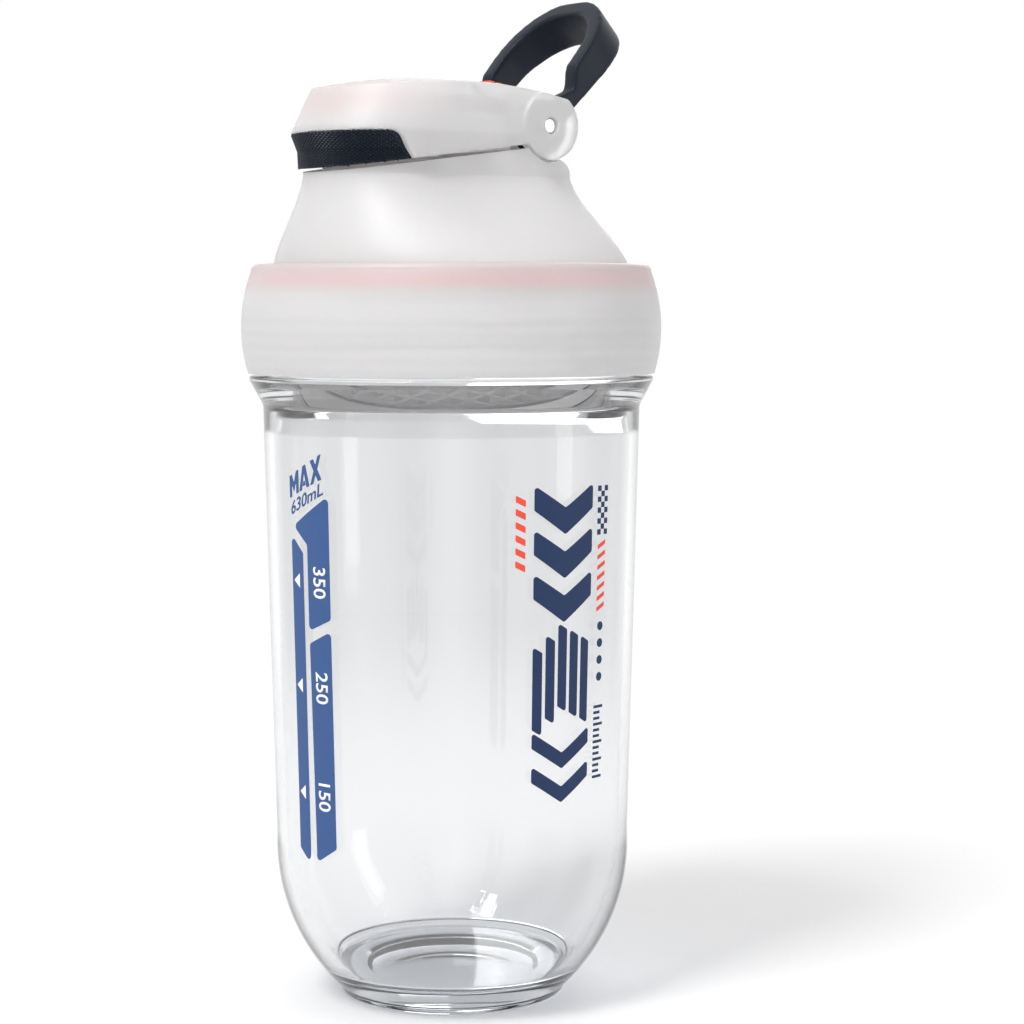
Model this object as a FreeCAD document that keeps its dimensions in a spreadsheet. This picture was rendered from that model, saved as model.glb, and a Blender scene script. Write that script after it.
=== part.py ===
"""Protein shaker bottle: clear cup, screw-on frosted lid, flip cap over the spout, folding carry loop.

Millimetres, +Z up. The origin is the centre of the cup's foot, on the cup's axis.
The spout is at the front (-Y) and the hinge of the cap is at the back (+Y).
"""
import FreeCAD, Part
import Sketcher
import math
import os
import re

Vector = FreeCAD.Vector
Rotation = FreeCAD.Rotation
Placement = FreeCAD.Placement

doc = FreeCAD.newDocument("shaker_bottle")

# ---------------------------------------------------------------- driving sizes
SIZES = [
    # cup
    ("foot_r", 23.2, "outer radius of the ring the cup stands on"),
    ("punt_r", 19.6, "radius of the recess under the foot"),
    ("punt_depth", 1.2, "depth of that recess"),
    ("foot_round", 1.6, "height of the rounded edge of the foot"),
    ("base_curve_r", 43.5, "radius of the curve from the foot to the wall"),
    ("wall_low_z", 36.0, "height where the straight wall starts"),
    ("wall_low_r", 38.7, "outer radius there"),
    ("wall_top_z", 129.8, "height where the shoulder starts"),
    ("wall_top_r", 41.1, "outer radius there"),
    ("cup_wall", 2.2, "wall of the cup"),
    ("floor_z", 6.5, "height of the inner floor"),
    ("shoulder_rise", 5.4, "height of the flared shoulder"),
    ("shoulder_flare", 2.9, "how far the shoulder flares out"),
    ("shoulder_edge", 0.9, "thickness of the shoulder's outer edge"),
    ("neck_r", 40.2, "outer radius of the threaded neck"),
    ("neck_bore_r", 37.9, "inner radius of the mouth"),
    ("neck_height", 18.9, "height of the neck above the shoulder"),
    # screw thread between cup and lid
    ("thread_pitch", 5.0, "rise of one turn"),
    ("thread_turns", 1.4, "turns of each ridge"),
    ("thread_depth", 1.3, "height of a ridge"),
    ("thread_root", 2.0, "width of a ridge at its root"),
    ("thread_crest", 0.8, "width of a ridge at its crest"),
    ("thread_foot", 0.4, "depth of a ridge's foot in its wall"),
    ("thread_gap", 0.35, "radial gap between a crest and the wall it faces"),
    ("thread_up", 5.6, "start of the cup's ridge above the shoulder"),
    # lid
    ("collar_gap", 0.6, "gap between the shoulder and the collar"),
    ("collar_height", 23.5, "height of the collar"),
    ("collar_wall", 2.45, "wall of the collar at its lower edge"),
    ("collar_belly_r", 34.0, "radius of the barrel-shaped side, seen from the side"),
    ("collar_draw_in", 0.8, "how much narrower the collar is at its top edge"),
    ("collar_round", 1.5, "round of the top edge"),
    ("lid_wall", 2.4, "wall of the deck and the heel"),
    ("dome_wall", 3.2, "wall of the dome, measured level"),
    ("gasket_gap", 0.2, "gap between the rim of the cup and the gasket"),
    ("gasket_thick", 2.5, "thickness of the gasket"),
    ("gasket_side_gap", 0.3, "gap beside the gasket"),
    ("skirt_r", 37.2, "outer radius of the skirt that drops into the mouth"),
    ("skirt_wall", 1.8, "wall of the skirt"),
    ("skirt_drop", 6.7, "depth of the skirt below the gasket's seat"),
    ("dome_r", 38.5, "radius of the dome where it leaves the collar"),
    ("dome_rise", 18.5, "height of the dome up to its straight sides"),
    ("deck_front_y", -17.5, "centre of the front curve of the deck"),
    ("deck_front_r", 17.4, "radius of the front curve of the deck"),
    ("deck_rear_y", 7.2, "centre of the rear curve of the deck"),
    ("deck_rear_r", 20.2, "radius of the rear curve of the deck"),
    ("spout_y", -18.5, "axis of the spout"),
    ("spout_r", 12.5, "outer radius of the spout"),
    ("spout_bore_r", 10.6, "bore of the spout"),
    ("spout_above_hinge", 0.4, "top of the spout above the hinge axis"),
    # hinge
    ("hinge_y", 11.85, "hinge axis behind the cup's axis"),
    ("hinge_rise", 29.45, "hinge axis above the collar's top"),
    ("pin_r", 1.7, "radius of the hinge pin"),
    ("pin_gap", 0.05, "running clearance round the pin"),
    ("pin_sunk", 0.9, "depth of the pin's ends below the cheeks"),
    ("pin_chamfer", 0.3, "chamfer on the pin's ends"),
    ("tower_half", 12.6, "half width of the lid's hinge tower"),
    ("tower_r", 5.4, "radius of the tower round the pin"),
    ("scoop_gap", 0.5, "gap between a cheek and the lid under it"),
    ("heel_drop", 6.9, "top of the heel behind the hinge, below the hinge axis"),
    ("heel_y", 24.5, "rear end of the heel's top curve"),
    ("heel_fall", 4.5, "fall of that curve"),
    ("heel_round_r", 17.0, "radius of that curve"),
    ("roof_flat", 3.0, "flat roof of the lid's hollow behind the hinge axis"),
    # cap
    ("part_gap", 0.8, "gap between the cap and the lid"),
    ("part_drop", 3.75, "parting line below the hinge axis, measured at the hinge"),
    ("part_tilt", 7.6, "degrees that the parting line rises towards the hinge"),
    ("cheek_half", 20.5, "half width of the cap over the cheeks"),
    ("cheek_wall", 3.0, "thickness of a cheek"),
    ("cheek_r", 7.3, "radius of a cheek round the pin"),
    ("lip_above_hinge", -2.15, "height of the cap's widest line from the hinge axis"),
    ("lip_y", -17.2, "centre of the front curve at the widest line"),
    ("lip_r", 20.3, "radius of the front curve at the widest line"),
    ("cap_low_r", 18.6, "radius of the front curve at the lower edge"),
    ("cap_low_half", 20.3, "half width of the cap at the lower edge"),
    ("cap_top_y", -12.4, "centre of the front curve at the top"),
    ("cap_top_r", 18.3, "radius of the front curve at the top"),
    ("cap_top_half", 18.9, "half width at the top over the hinge"),
    ("crown_rise", 10.0, "top of the crown above the hinge axis"),
    ("crown_y", -8.0, "highest place of the crown"),
    ("crown_r", 120.0, "radius of the crowned top"),
    ("cap_depth", 12.0, "lowest outline of the cap below the hinge axis"),
    ("cap_wall", 2.3, "wall of the cap"),
    ("cap_side_room", 0.6, "extra wall of the cap's straight sides"),
    ("cap_cross_wall", 2.0, "wall between the room for the spout and the room for the hinge"),
    ("cap_ceiling", 5.9, "ceiling of the cap above the hinge axis"),
    ("cap_room_r", 15.2, "radius of the room for the spout behind the grip"),
    ("room_step", 0.4, "where the room widens, above the widest line of the cap"),
    ("room_taper", 0.6, "how far the room's ceiling follows the cap's narrowing, as a share of it"),
    ("cap_back_y", 1.0, "rear face of the room for the spout"),
    ("tongue_y", 16.5, "rear end of the tongue over the hinge"),
    ("tongue_thick", 1.65, "thickness of the tongue"),
    ("tongue_crown", 2.2, "fall of the crown towards the tongue's end"),
    # carry loop
    ("loop_half", 17.2, "half width of the loop"),
    ("loop_band", 4.0, "thickness of the loop's band"),
    ("loop_reach", 36.5, "hinge axis to the far end of the loop"),
    ("loop_bend_r", 15.5, "outer radius of the loop's bend"),
    ("loop_lean", 47.0, "degrees the loop leans back from upright"),
    ("loop_back", 3.0, "back of the band behind the pin's line"),
    ("loop_front", 3.6, "front of the band at the knee"),
    ("loop_front_far", 6.4, "front of the band at the far end"),
    ("knee_far", 15.7, "hinge axis to the knee, along the loop"),
    ("notch_near", 11.8, "hinge axis to the corner of the notch, along the loop"),
    ("notch_front", 0.2, "front of the band at the notch"),
    ("eye_r", 6.0, "radius of the loop's eyes round the pin"),
    ("eye_reach", 4.8, "hinge axis to where the front of a leg leaves its eye"),
    ("leg_gap", 0.3, "gap beside the loop's legs"),
    ("channel_front_y", -10.5, "front end of the channels in the cap for the legs"),
    ("channel_floor", 5.4, "floor of the channels above the hinge axis"),
    ("channel_ramp", 6.5, "length of the ramp at the front of the channels"),
    ("channel_fall", 1.5, "fall of the floor towards the hinge"),
    ("channel_side", 1.4, "wall between a channel and the room for the spout"),
    # seal, liner and grip of the cap
    ("seal_gap", 0.3, "gap between the spout's rim and the seal"),
    ("seal_thick", 2.4, "thickness of the seal's disc"),
    ("seal_r", 13.3, "radius of the seal's disc"),
    ("plug_r", 10.2, "radius of the plug that enters the spout"),
    ("plug_drop", 2.8, "depth of the plug"),
    ("plug_wall", 1.6, "wall of the hollow plug"),
    ("plug_lead", 0.5, "how much narrower the plug is at its end"),
    ("plug_lead_rise", 0.8, "height of that taper"),
    ("liner_thick", 1.6, "thickness of the liner"),
    ("liner_rim", 1.3, "thickness of the liner's ring round the seal"),
    ("liner_front_gap", 0.15, "gap between the liner and the front wall of the cap"),
    ("liner_post_r", 1.6, "radius of the liner's posts"),
    ("liner_post_x", 9.0, "posts beside the spout's axis"),
    ("liner_post_front", 7.0, "front posts ahead of the spout's axis"),
    ("liner_post_rear", 9.0, "rear posts behind the spout's axis"),
    ("grip_end_y", -26.3, "rear end of the thumb grip under the lip"),
    ("grip_end_back", 4.3, "how far that end slants back on its way down"),
    ("grip_end_fall", 6.6, "height over which it slants back that far"),
    ("grip_corner_r", 3.0, "round of the corner between the lip and that end"),
    ("grip_end_gap", 0.1, "gap between the end of the grip and its recess"),
    ("grip_seat_r", 16.9, "inner radius of the thumb grip"),
    ("grip_top_r", 19.7, "outer radius of the grip under the lip"),
    ("grip_waist_drop", 3.6, "waist of the grip below the lip"),
    ("grip_waist_r", 18.4, "outer radius of the grip at its waist"),
    ("grip_low_r", 18.1, "outer radius of the grip at its lower edge"),
    ("grip_gap", 0.15, "gap between the grip and the lip over it"),
    # coral bumper on the tongue
    ("pad_y", 7.6, "front end of the bumper"),
    ("pad_long", 7.6, "length of the bumper"),
    ("pad_half", 4.0, "half width of the bumper"),
    ("pad_seat", 0.9, "depth of the bumper's seat in the tongue"),
    ("pad_proud", 0.8, "height of the bumper's face above the crown"),
    ("pad_gap", 0.1, "gap between the bumper and its seat"),
    ("pad_rib", 1.2, "width of the rib at the front of the bumper"),
    ("pad_rib_proud", 0.7, "height of the rib above the bumper's face"),
    ("pad_button_r", 2.3, "radius of the button on the bumper"),
    ("pad_button_back", 4.7, "middle of the button behind the bumper's front end"),
    ("pad_button_ball_r", 3.2, "radius of the button's domed top"),
    ("pad_button_rise", 2.15, "height of the button above the crown"),
    # mixing grid
    ("grid_gap", 0.3, "gap between the grid's rim and the skirt"),
    ("grid_rim", 1.6, "thickness of the grid's rim"),
    ("grid_height", 4.6, "height of the grid's rim"),
    ("grid_thick", 2.0, "thickness of the grid's bars"),
    ("grid_pitch", 6.6, "distance between bars"),
    ("grid_bar", 1.5, "width of a bar"),
]

sheet = doc.addObject("Spreadsheet::Sheet", "Sizes")
for row, (alias, number, note) in enumerate(SIZES, start=1):
    sheet.set(f"A{row}", alias)
    sheet.set(f"B{row}", str(number))
    sheet.set(f"C{row}", note)
    sheet.setAlias(f"B{row}", alias)

# Heights and radii that follow from the driving sizes, kept in the sheet as formulas.
DERIVED = [
    ("shoulder_z", "wall_top_z + shoulder_rise"),
    ("shoulder_r", "wall_top_r + shoulder_flare"),
    ("shoulder_top", "shoulder_z + shoulder_edge"),
    ("rim_z", "shoulder_top + neck_height"),
    ("collar_low", "shoulder_top + collar_gap"),
    ("collar_top", "collar_low + collar_height"),
    ("collar_bore", "neck_r + thread_depth + thread_gap"),
    ("collar_r", "collar_bore + collar_wall"),
    ("seat_z", "rim_z + gasket_gap + gasket_thick"),
    ("skirt_bore", "skirt_r - skirt_wall"),
    ("dome_top", "collar_top + dome_rise"),
    ("hinge_z", "collar_top + hinge_rise"),
    ("part_z", "hinge_z - part_drop"),
    ("lip_z", "hinge_z + lip_above_hinge"),
    ("crown_z", "hinge_z + crown_rise"),
    ("ceiling_z", "hinge_z + cap_ceiling"),
    ("spout_top", "hinge_z + spout_above_hinge"),
    ("leg_inner", "loop_half - loop_band"),
    ("pin_hole", "pin_r + pin_gap"),
    ("seal_low", "spout_top + seal_gap"),
    ("liner_low", "spout_top + seal_gap + seal_thick"),
]


def tied(text):
    """Put the sheet's name before each alias in a formula."""
    maths = ("sin", "cos", "tan", "atan", "sqrt", "abs")
    return re.sub(r"[a-z][a-z_]{2,}",
                  lambda found: found.group() if found.group() in maths else "Sizes." + found.group(), text)


for row, (alias, formula) in enumerate(DERIVED, start=len(SIZES) + 2):
    sheet.set(f"A{row}", alias)
    sheet.set(f"B{row}", "=" + formula)
    sheet.setAlias(f"B{row}", alias)
doc.recompute()


def value(text):
    """Number that a formula of the sheet gives now."""
    return float(sheet.evalExpression(tied(text)))


# ---------------------------------------------------------------- drawing helpers
UPRIGHT_XZ = Rotation(Vector(1, 0, 0), 90)
UPRIGHT_YZ = Rotation(Vector(1, 1, 1), 120)
ALONG_X = Rotation(Vector(0, 1, 0), 90)


def loose_sketch(name, rotation=None, place=("0", "0", "0")):
    """Sketch that stands by itself, for lofts and extrusions."""
    sketch = doc.addObject("Sketcher::SketchObject", name)
    sketch.Placement = Placement(Vector(), rotation or Rotation())
    for letter, text in zip("xyz", place):
        sketch.setExpression(f"Placement.Base.{letter}", tied(text))
    return sketch


def body_sketch(body, name, role, offset=None, turn=None):
    """Sketch on one of the body's own origin planes, moved in that plane's axes by offset."""
    sketch = body.newObject("Sketcher::SketchObject", name)
    plane = next(f for f in body.Origin.OriginFeatures if f.Role == role)
    sketch.AttachmentSupport = [(plane, "")]
    sketch.MapMode = "FlatFace"
    if turn is not None:
        sketch.AttachmentOffset = Placement(Vector(), turn)
    for letter, text in zip("xyz", offset or ()):
        sketch.setExpression(f"AttachmentOffset.Base.{letter}", tied(text))
    doc.recompute()
    return sketch


def tie(sketch, kind, *where, text):
    """Add one dimension to a sketch and bind it to the sheet."""
    index = sketch.addConstraint(Sketcher.Constraint(kind, *where, value(text)))
    sketch.setExpression(f"Constraints[{index}]", tied(text))


def outline(sketch, corners, arcs=None):
    """Closed outline through corners, each a pair of formulas.

    arcs gives, for an edge's number, its radius and the side it bulges to: +1 to the right of the
    direction of travel, -1 to the left. Every other edge is straight.
    """
    arcs = arcs or {}
    points = [Vector(value(x), value(y), 0) for x, y in corners]
    ends = []
    for number, start in enumerate(points):
        finish = points[(number + 1) % len(points)]
        if number not in arcs:
            edge = sketch.addGeometry(Part.LineSegment(start, finish), False)
            ends.append((edge, 1, 2))
            continue
        radius_text, side = arcs[number]
        radius = value(radius_text)
        chord = finish - start
        reach = math.sqrt(max(radius ** 2 - chord.Length ** 2 / 4, 0))
        left = Vector(-chord.y, chord.x, 0).normalize()
        centre = (start + finish) * 0.5 + left * (reach * side)
        first, last = (start, finish) if side > 0 else (finish, start)
        angles = [math.atan2(p.y - centre.y, p.x - centre.x) for p in (first, last)]
        circle = Part.Circle(centre, Vector(0, 0, 1), radius)
        edge = sketch.addGeometry(Part.ArcOfCircle(circle, *angles), False)
        ends.append((edge, 1, 2) if side > 0 else (edge, 2, 1))
    for number, (edge, _, end) in enumerate(ends):
        following, beginning, _ = ends[(number + 1) % len(ends)]
        sketch.addConstraint(Sketcher.Constraint("Coincident", edge, end, following, beginning))
    for (edge, beginning, _), (x, y) in zip(ends, corners):
        tie(sketch, "DistanceX", -1, 1, edge, beginning, text=x)
        tie(sketch, "DistanceY", -1, 1, edge, beginning, text=y)
    for number, (radius_text, _) in arcs.items():
        tie(sketch, "Radius", ends[number][0], text=radius_text)
    return sketch


def egg(sketch, front_y, front_r, rear_y, rear_r):
    """Outline of two circles on the Y axis joined by their common tangents."""
    y_front, r_front, y_rear, r_rear = (value(text) for text in (front_y, front_r, rear_y, rear_r))
    rise = math.asin((r_front - r_rear) / (y_rear - y_front))
    up = Vector(0, 0, 1)
    front = Part.ArcOfCircle(Part.Circle(Vector(0, y_front, 0), up, r_front),
                             math.pi - rise, 2 * math.pi + rise)
    rear = Part.ArcOfCircle(Part.Circle(Vector(0, y_rear, 0), up, r_rear), rise, math.pi - rise)
    right = Part.LineSegment(front.EndPoint, rear.StartPoint)
    left = Part.LineSegment(rear.EndPoint, front.StartPoint)
    loop = [sketch.addGeometry(shape, False) for shape in (front, right, rear, left)]
    for first, second in zip(loop, loop[1:] + loop[:1]):
        sketch.addConstraint(Sketcher.Constraint("Tangent", first, 2, second, 1))
    for arc, centre_y, radius in ((loop[0], front_y, front_r), (loop[2], rear_y, rear_r)):
        tie(sketch, "DistanceX", -1, 1, arc, 3, text="0")
        tie(sketch, "DistanceY", -1, 1, arc, 3, text=centre_y)
        tie(sketch, "Radius", arc, text=radius)
    return sketch


def ring(sketch, radius, x="0", y="0"):
    """Circle in a sketch."""
    circle = Part.Circle(Vector(value(x), value(y), 0), Vector(0, 0, 1), value(radius))
    edge = sketch.addGeometry(circle, False)
    tie(sketch, "DistanceX", -1, 1, edge, 3, text=x)
    tie(sketch, "DistanceY", -1, 1, edge, 3, text=y)
    tie(sketch, "Radius", edge, text=radius)
    return sketch


def primitive(kind, name, place, turn=None, **sizes):
    """Part primitive with its sizes and place bound to the sheet."""
    solid = doc.addObject(f"Part::{kind}", name)
    solid.Placement = Placement(Vector(), turn or Rotation())
    for letter, text in zip("xyz", place):
        solid.setExpression(f"Placement.Base.{letter}", tied(text))
    for size, text in sizes.items():
        solid.setExpression(size, tied(text))
    return solid


def block(name, low, size):
    """Box from its low corner and its size along X, Y and Z."""
    return primitive("Box", name, low, Length=size[0], Width=size[1], Height=size[2])


def rod_x(name, half, radius, y="hinge_y", z="hinge_z", start=None):
    """Cylinder along X, centred on X = 0 or from start outwards."""
    low = start or f"-({half})"
    length = f"2 * ({half})" if start is None else half
    return primitive("Cylinder", name, (low, y, z), ALONG_X, Radius=radius, Height=length)


def joined(name, *pieces):
    fused = doc.addObject("Part::MultiFuse", name)
    fused.Shapes = list(pieces)
    return fused


def without(name, base, *tools):
    """Base with tools cut away."""
    tool = tools[0] if len(tools) == 1 else joined(name + "_tools", *tools)
    result = doc.addObject("Part::Cut", name)
    result.Base = base
    result.Tool = tool
    return result


def shared(name, first, second):
    result = doc.addObject("Part::Common", name)
    result.Base = first
    result.Tool = second
    return result


def slab(name, corners, half, arcs=None, start=None):
    """Outline in the YZ plane, extruded along X: to both sides, or outwards from start."""
    place = ("0", "0", "0") if start is None else (start, "0", "0")
    sketch = outline(loose_sketch(name + "_outline", UPRIGHT_YZ, place), corners, arcs)
    solid = doc.addObject("Part::Extrusion", name)
    solid.Base = sketch
    solid.DirMode = "Normal"
    solid.Solid = True
    solid.Symmetric = start is None
    solid.setExpression("LengthFwd", tied(f"2 * ({half})" if start is None else half))
    return solid


def lofted(name, sections, ruled=False):
    loft = doc.addObject("Part::Loft", name)
    loft.Sections = sections
    loft.Solid = True
    loft.Ruled = ruled
    return loft


def tall(name, sketch, height):
    """Extrusion of a flat outline straight up."""
    solid = doc.addObject("Part::Extrusion", name)
    solid.Base = sketch
    solid.DirMode = "Normal"
    solid.Solid = True
    solid.setExpression("LengthFwd", tied(height))
    return solid


def turned(body, sketch, name="Turned", angle=None):
    """Revolution of a body's sketch round the sketch's own vertical axis."""
    feature = body.newObject("PartDesign::Revolution", name)
    feature.Profile = sketch
    feature.ReferenceAxis = (sketch, ["V_Axis"])
    feature.Angle = 360
    if angle:
        feature.Midplane = True
        feature.setExpression("Angle", tied(angle))
    return feature


def thread_ridge(body, wall_r, start_z, direction):
    """One helical ridge standing on a wall: outwards for direction +1, inwards for -1."""
    sketch = body_sketch(body, "RidgeSection", "XZ_Plane")
    foot = f"{wall_r} - {direction} * thread_foot"
    crest = f"{wall_r} + {direction} * thread_depth"
    outline(sketch, [
        (foot, f"{start_z} - thread_root / 2"),
        (crest, f"{start_z} - thread_crest / 2"),
        (crest, f"{start_z} + thread_crest / 2"),
        (foot, f"{start_z} + thread_root / 2")])
    ridge = body.newObject("PartDesign::AdditiveHelix", "Ridge")
    ridge.Profile = sketch
    ridge.ReferenceAxis = (sketch, ["V_Axis"])
    ridge.Mode = "pitch-turns-angle"
    ridge.setExpression("Pitch", tied("thread_pitch"))
    ridge.setExpression("Turns", tied("thread_turns"))
    return ridge


NODES = {}


def subpart(solid, label):
    """Name a finished piece, as its file will be named."""
    solid.Label = label
    NODES[label] = solid
    return solid


# ---------------------------------------------------------------- cup
def make_cup():
    """Blown clear cup: heavy base with a punt, tapered wall, flared shoulder, threaded neck."""
    body = doc.addObject("PartDesign::Body", "Cup")
    inner_curve = "base_curve_r - cup_wall"
    profile = body_sketch(body, "CupProfile", "XZ_Plane")
    outline(profile, [
        ("0", "punt_depth"),
        ("punt_r - punt_depth", "punt_depth"),
        ("punt_r", "0"),
        ("foot_r", "0"),
        ("foot_r + foot_round", "foot_round"),
        ("wall_low_r", "wall_low_z"),
        ("wall_top_r", "wall_top_z"),
        ("shoulder_r", "shoulder_z"),
        ("shoulder_r", "shoulder_top"),
        ("neck_r", "shoulder_top"),
        ("neck_r", "rim_z"),
        ("neck_bore_r", "rim_z"),
        ("neck_bore_r", "shoulder_z"),
        ("wall_top_r - cup_wall", "wall_top_z - shoulder_rise"),
        ("wall_low_r - cup_wall", "wall_low_z"),
        ("foot_r + cup_wall", "floor_z"),
        ("0", "floor_z"),
    ], {3: ("foot_round", 1), 4: ("base_curve_r", 1), 14: (inner_curve, -1)})
    turned(body, profile)
    doc.recompute()
    thread_ridge(body, "neck_r", "shoulder_top + thread_up", 1)
    return subpart(body, "cup")


# ---------------------------------------------------------------- lid
def dome_sections(name, inset, base_z, rise):
    """Outlines from the round base of the dome up to the long deck, as an eased blend of the two."""
    sections = []
    steps = 6
    for step in range(steps):
        share = step / (steps - 1)
        blend = round((share + (1 - math.cos(math.pi * share)) / 2) / 2, 4)
        # The two circles of the base stand a little apart, so that their outline has four edges too.
        apart = 0.4
        sketch = loose_sketch(f"{name}{step}", None, ("0", "0", f"{base_z} + ({rise}) * {round(share, 4)}"))
        egg(sketch,
            f"(deck_front_y + {apart}) * {blend} - {apart}",
            f"dome_r - {inset} + (deck_front_r - dome_r) * {blend}",
            f"(deck_rear_y - {apart}) * {blend} + {apart}",
            f"dome_r - {inset} + (deck_rear_r - dome_r) * {blend}")
        sections.append(sketch)
    return sections


def deck_height(y, below):
    """Formula of the parting line's height at y, lowered by a distance."""
    return f"part_z + (({y}) - hinge_y) * tan(part_tilt) - ({below})"


FAR = "60"  # further than the lid and the cap reach from the axis
SKY = f"hinge_z + {FAR}"
PAST = "20"  # how far a cutting piece runs past what it cuts
LAP = "1"  # how far two pieces of one moulding reach into each other
SIDES = "14"  # height of the straight sides that the sloping deck is cut from


def make_lid():
    """Frosted lid: threaded collar, dome, deck with the drinking spout, and the hinge tower."""
    outer_collar = [
        ("collar_bore", "collar_low"),
        ("collar_r", "collar_low"),
        ("collar_r - collar_draw_in", "collar_top - collar_round"),
        ("collar_r - collar_draw_in - collar_round", "collar_top"),
        ("skirt_bore", "collar_top"),
        ("skirt_bore", "seat_z - skirt_drop"),
        ("skirt_r", "seat_z - skirt_drop"),
        ("skirt_r", "seat_z"),
        ("collar_bore", "seat_z"),
    ]
    collar_body = doc.addObject("PartDesign::Body", "Collar")
    profile = body_sketch(collar_body, "CollarProfile", "XZ_Plane")
    outline(profile, outer_collar, {1: ("collar_belly_r", 1), 2: ("collar_round", 1)})
    turned(collar_body, profile)
    doc.recompute()
    thread_ridge(collar_body, "collar_bore", "shoulder_top + thread_up - thread_pitch / 2", -1)

    # The dome's outside, up to the deck: an eased loft and then straight sides.
    base_z = f"collar_top - {LAP}"
    outer = joined("DomeOutside",
                   lofted("DomeLoft", dome_sections("DomeOutline", "0", base_z, f"dome_rise + {LAP}")),
                   tall("DeckSides",
                        egg(loose_sketch("DeckOutline", None, ("0", "0", "dome_top")),
                            "deck_front_y", "deck_front_r", "deck_rear_y", "deck_rear_r"), SIDES))
    above_deck = slab("AboveDeck", [
        (f"-{FAR}", deck_height(f"-{FAR}", "part_gap / 2")),
        ("hinge_y", deck_height("hinge_y", "part_gap / 2")),
        ("hinge_y", "hinge_z - heel_drop"),
        ("heel_y", "hinge_z - heel_drop - heel_fall"),
        (FAR, "hinge_z - heel_drop - heel_fall"),
        (FAR, SKY),
        (f"-{FAR}", SKY),
    ], FAR, {2: ("heel_round_r", -1)})

    # The hollow under it keeps the lid's wall all round, and stays below the deck and the heel.
    hollow = joined("DomeHollow",
                    lofted("HollowLoft", dome_sections("HollowOutline", "dome_wall", f"seat_z - {LAP}",
                                                       f"dome_top - lid_wall - seat_z + {LAP}")),
                    tall("HollowSides",
                         egg(loose_sketch("HollowTopOutline", None, ("0", "0", "dome_top - lid_wall")),
                             "deck_front_y", "deck_front_r - dome_wall",
                             "deck_rear_y", "deck_rear_r - dome_wall"), SIDES))
    scoop_r = "cheek_r + scoop_gap"
    roof_front = f"hinge_y - {scoop_r} - lid_wall"
    above_hollow = slab("AboveHollow", [
        (f"-{FAR}", deck_height(f"-{FAR}", "part_gap / 2 + lid_wall")),
        (roof_front, deck_height(roof_front, "part_gap / 2 + lid_wall")),
        (roof_front, f"hinge_z - ({scoop_r}) - lid_wall"),
        ("hinge_y + roof_flat", f"hinge_z - ({scoop_r}) - lid_wall"),
        ("heel_y - lid_wall", "hinge_z - heel_drop - heel_fall - lid_wall"),
        (FAR, "hinge_z - heel_drop - heel_fall - lid_wall"),
        (FAR, SKY),
        (f"-{FAR}", SKY),
    ], FAR)
    dome = without("Dome", without("DomeCut", outer, above_deck), without("HollowCut", hollow, above_hollow))

    # Room beside the tower for the cheeks of the cap and the legs of the loop.
    scoop_starts = (("Right", "tower_half + leg_gap"), ("Left", f"-tower_half - leg_gap - {PAST}"))
    scoops = [rod_x(f"Scoop{side}", PAST, scoop_r, start=start) for side, start in scoop_starts]
    dome = without("DomeScooped", dome, *scoops)

    tower_low = f"hinge_z - ({scoop_r}) - {LAP}"
    tower = joined("Tower", rod_x("TowerRound", "tower_half", "tower_r"),
                   block("TowerBlock", ("-tower_half", "hinge_y - tower_r", tower_low),
                         ("2 * tower_half", "2 * tower_r", f"hinge_z - ({tower_low})")))
    spout = primitive("Cylinder", "Spout", ("0", "spout_y", "dome_top"), Radius="spout_r",
                      Height="spout_top - dome_top")
    bore = primitive("Cylinder", "SpoutBore", ("0", "spout_y", f"dome_top - {PAST} / 2"),
                     Radius="spout_bore_r", Height=f"spout_top - dome_top + {PAST}")
    pin_seat = rod_x("PinSeat", f"tower_half + {LAP}", "pin_r")
    lid = without("Lid", joined("LidWhole", collar_body, dome, tower, spout), bore, pin_seat)
    return subpart(lid, "lid_shell")


def make_gasket():
    """Silicone ring between the lid's seat and the rim of the cup."""
    body = doc.addObject("PartDesign::Body", "Gasket")
    profile = body_sketch(body, "GasketProfile", "XZ_Plane")
    outline(profile, [
        ("skirt_r + gasket_side_gap", "rim_z + gasket_gap"),
        ("collar_bore - gasket_side_gap", "rim_z + gasket_gap"),
        ("collar_bore - gasket_side_gap", "seat_z"),
        ("skirt_r + gasket_side_gap", "seat_z"),
    ])
    turned(body, profile)
    return subpart(body, "lid_gasket")


def make_grid():
    """Moulded grid that snaps into the skirt and breaks up lumps of powder."""
    low = "seat_z - skirt_drop"
    rim_r = "skirt_bore - grid_gap"
    rim = without("GridRim",
                  primitive("Cylinder", "GridRimOuter", ("0", "0", low), Radius=rim_r, Height="grid_height"),
                  primitive("Cylinder", "GridRimInner", ("0", "0", f"{low} - {LAP}"),
                            Radius=f"{rim_r} - grid_rim", Height=f"grid_height + 2 * {LAP}"))
    reach = value("skirt_bore - grid_gap - grid_rim")
    lines = int(reach // value("grid_pitch"))
    bars = []
    for line in range(-lines, lines + 1):
        across = f"{line} * grid_pitch - grid_bar / 2"
        long_side = f"2 * ({rim_r})"
        bars.append(block(f"BarX{line + lines}", (f"-({rim_r})", across, low),
                          (long_side, "grid_bar", "grid_thick")))
        bars.append(block(f"BarY{line + lines}", (across, f"-({rim_r})", low),
                          ("grid_bar", long_side, "grid_thick")))
    mesh = shared("GridMesh", joined("GridBars", *bars),
                  primitive("Cylinder", "GridRound", ("0", "0", low), Radius=f"{rim_r} - grid_rim / 2",
                            Height="grid_thick"))
    return subpart(joined("Grid", rim, mesh), "mixing_grid")


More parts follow.
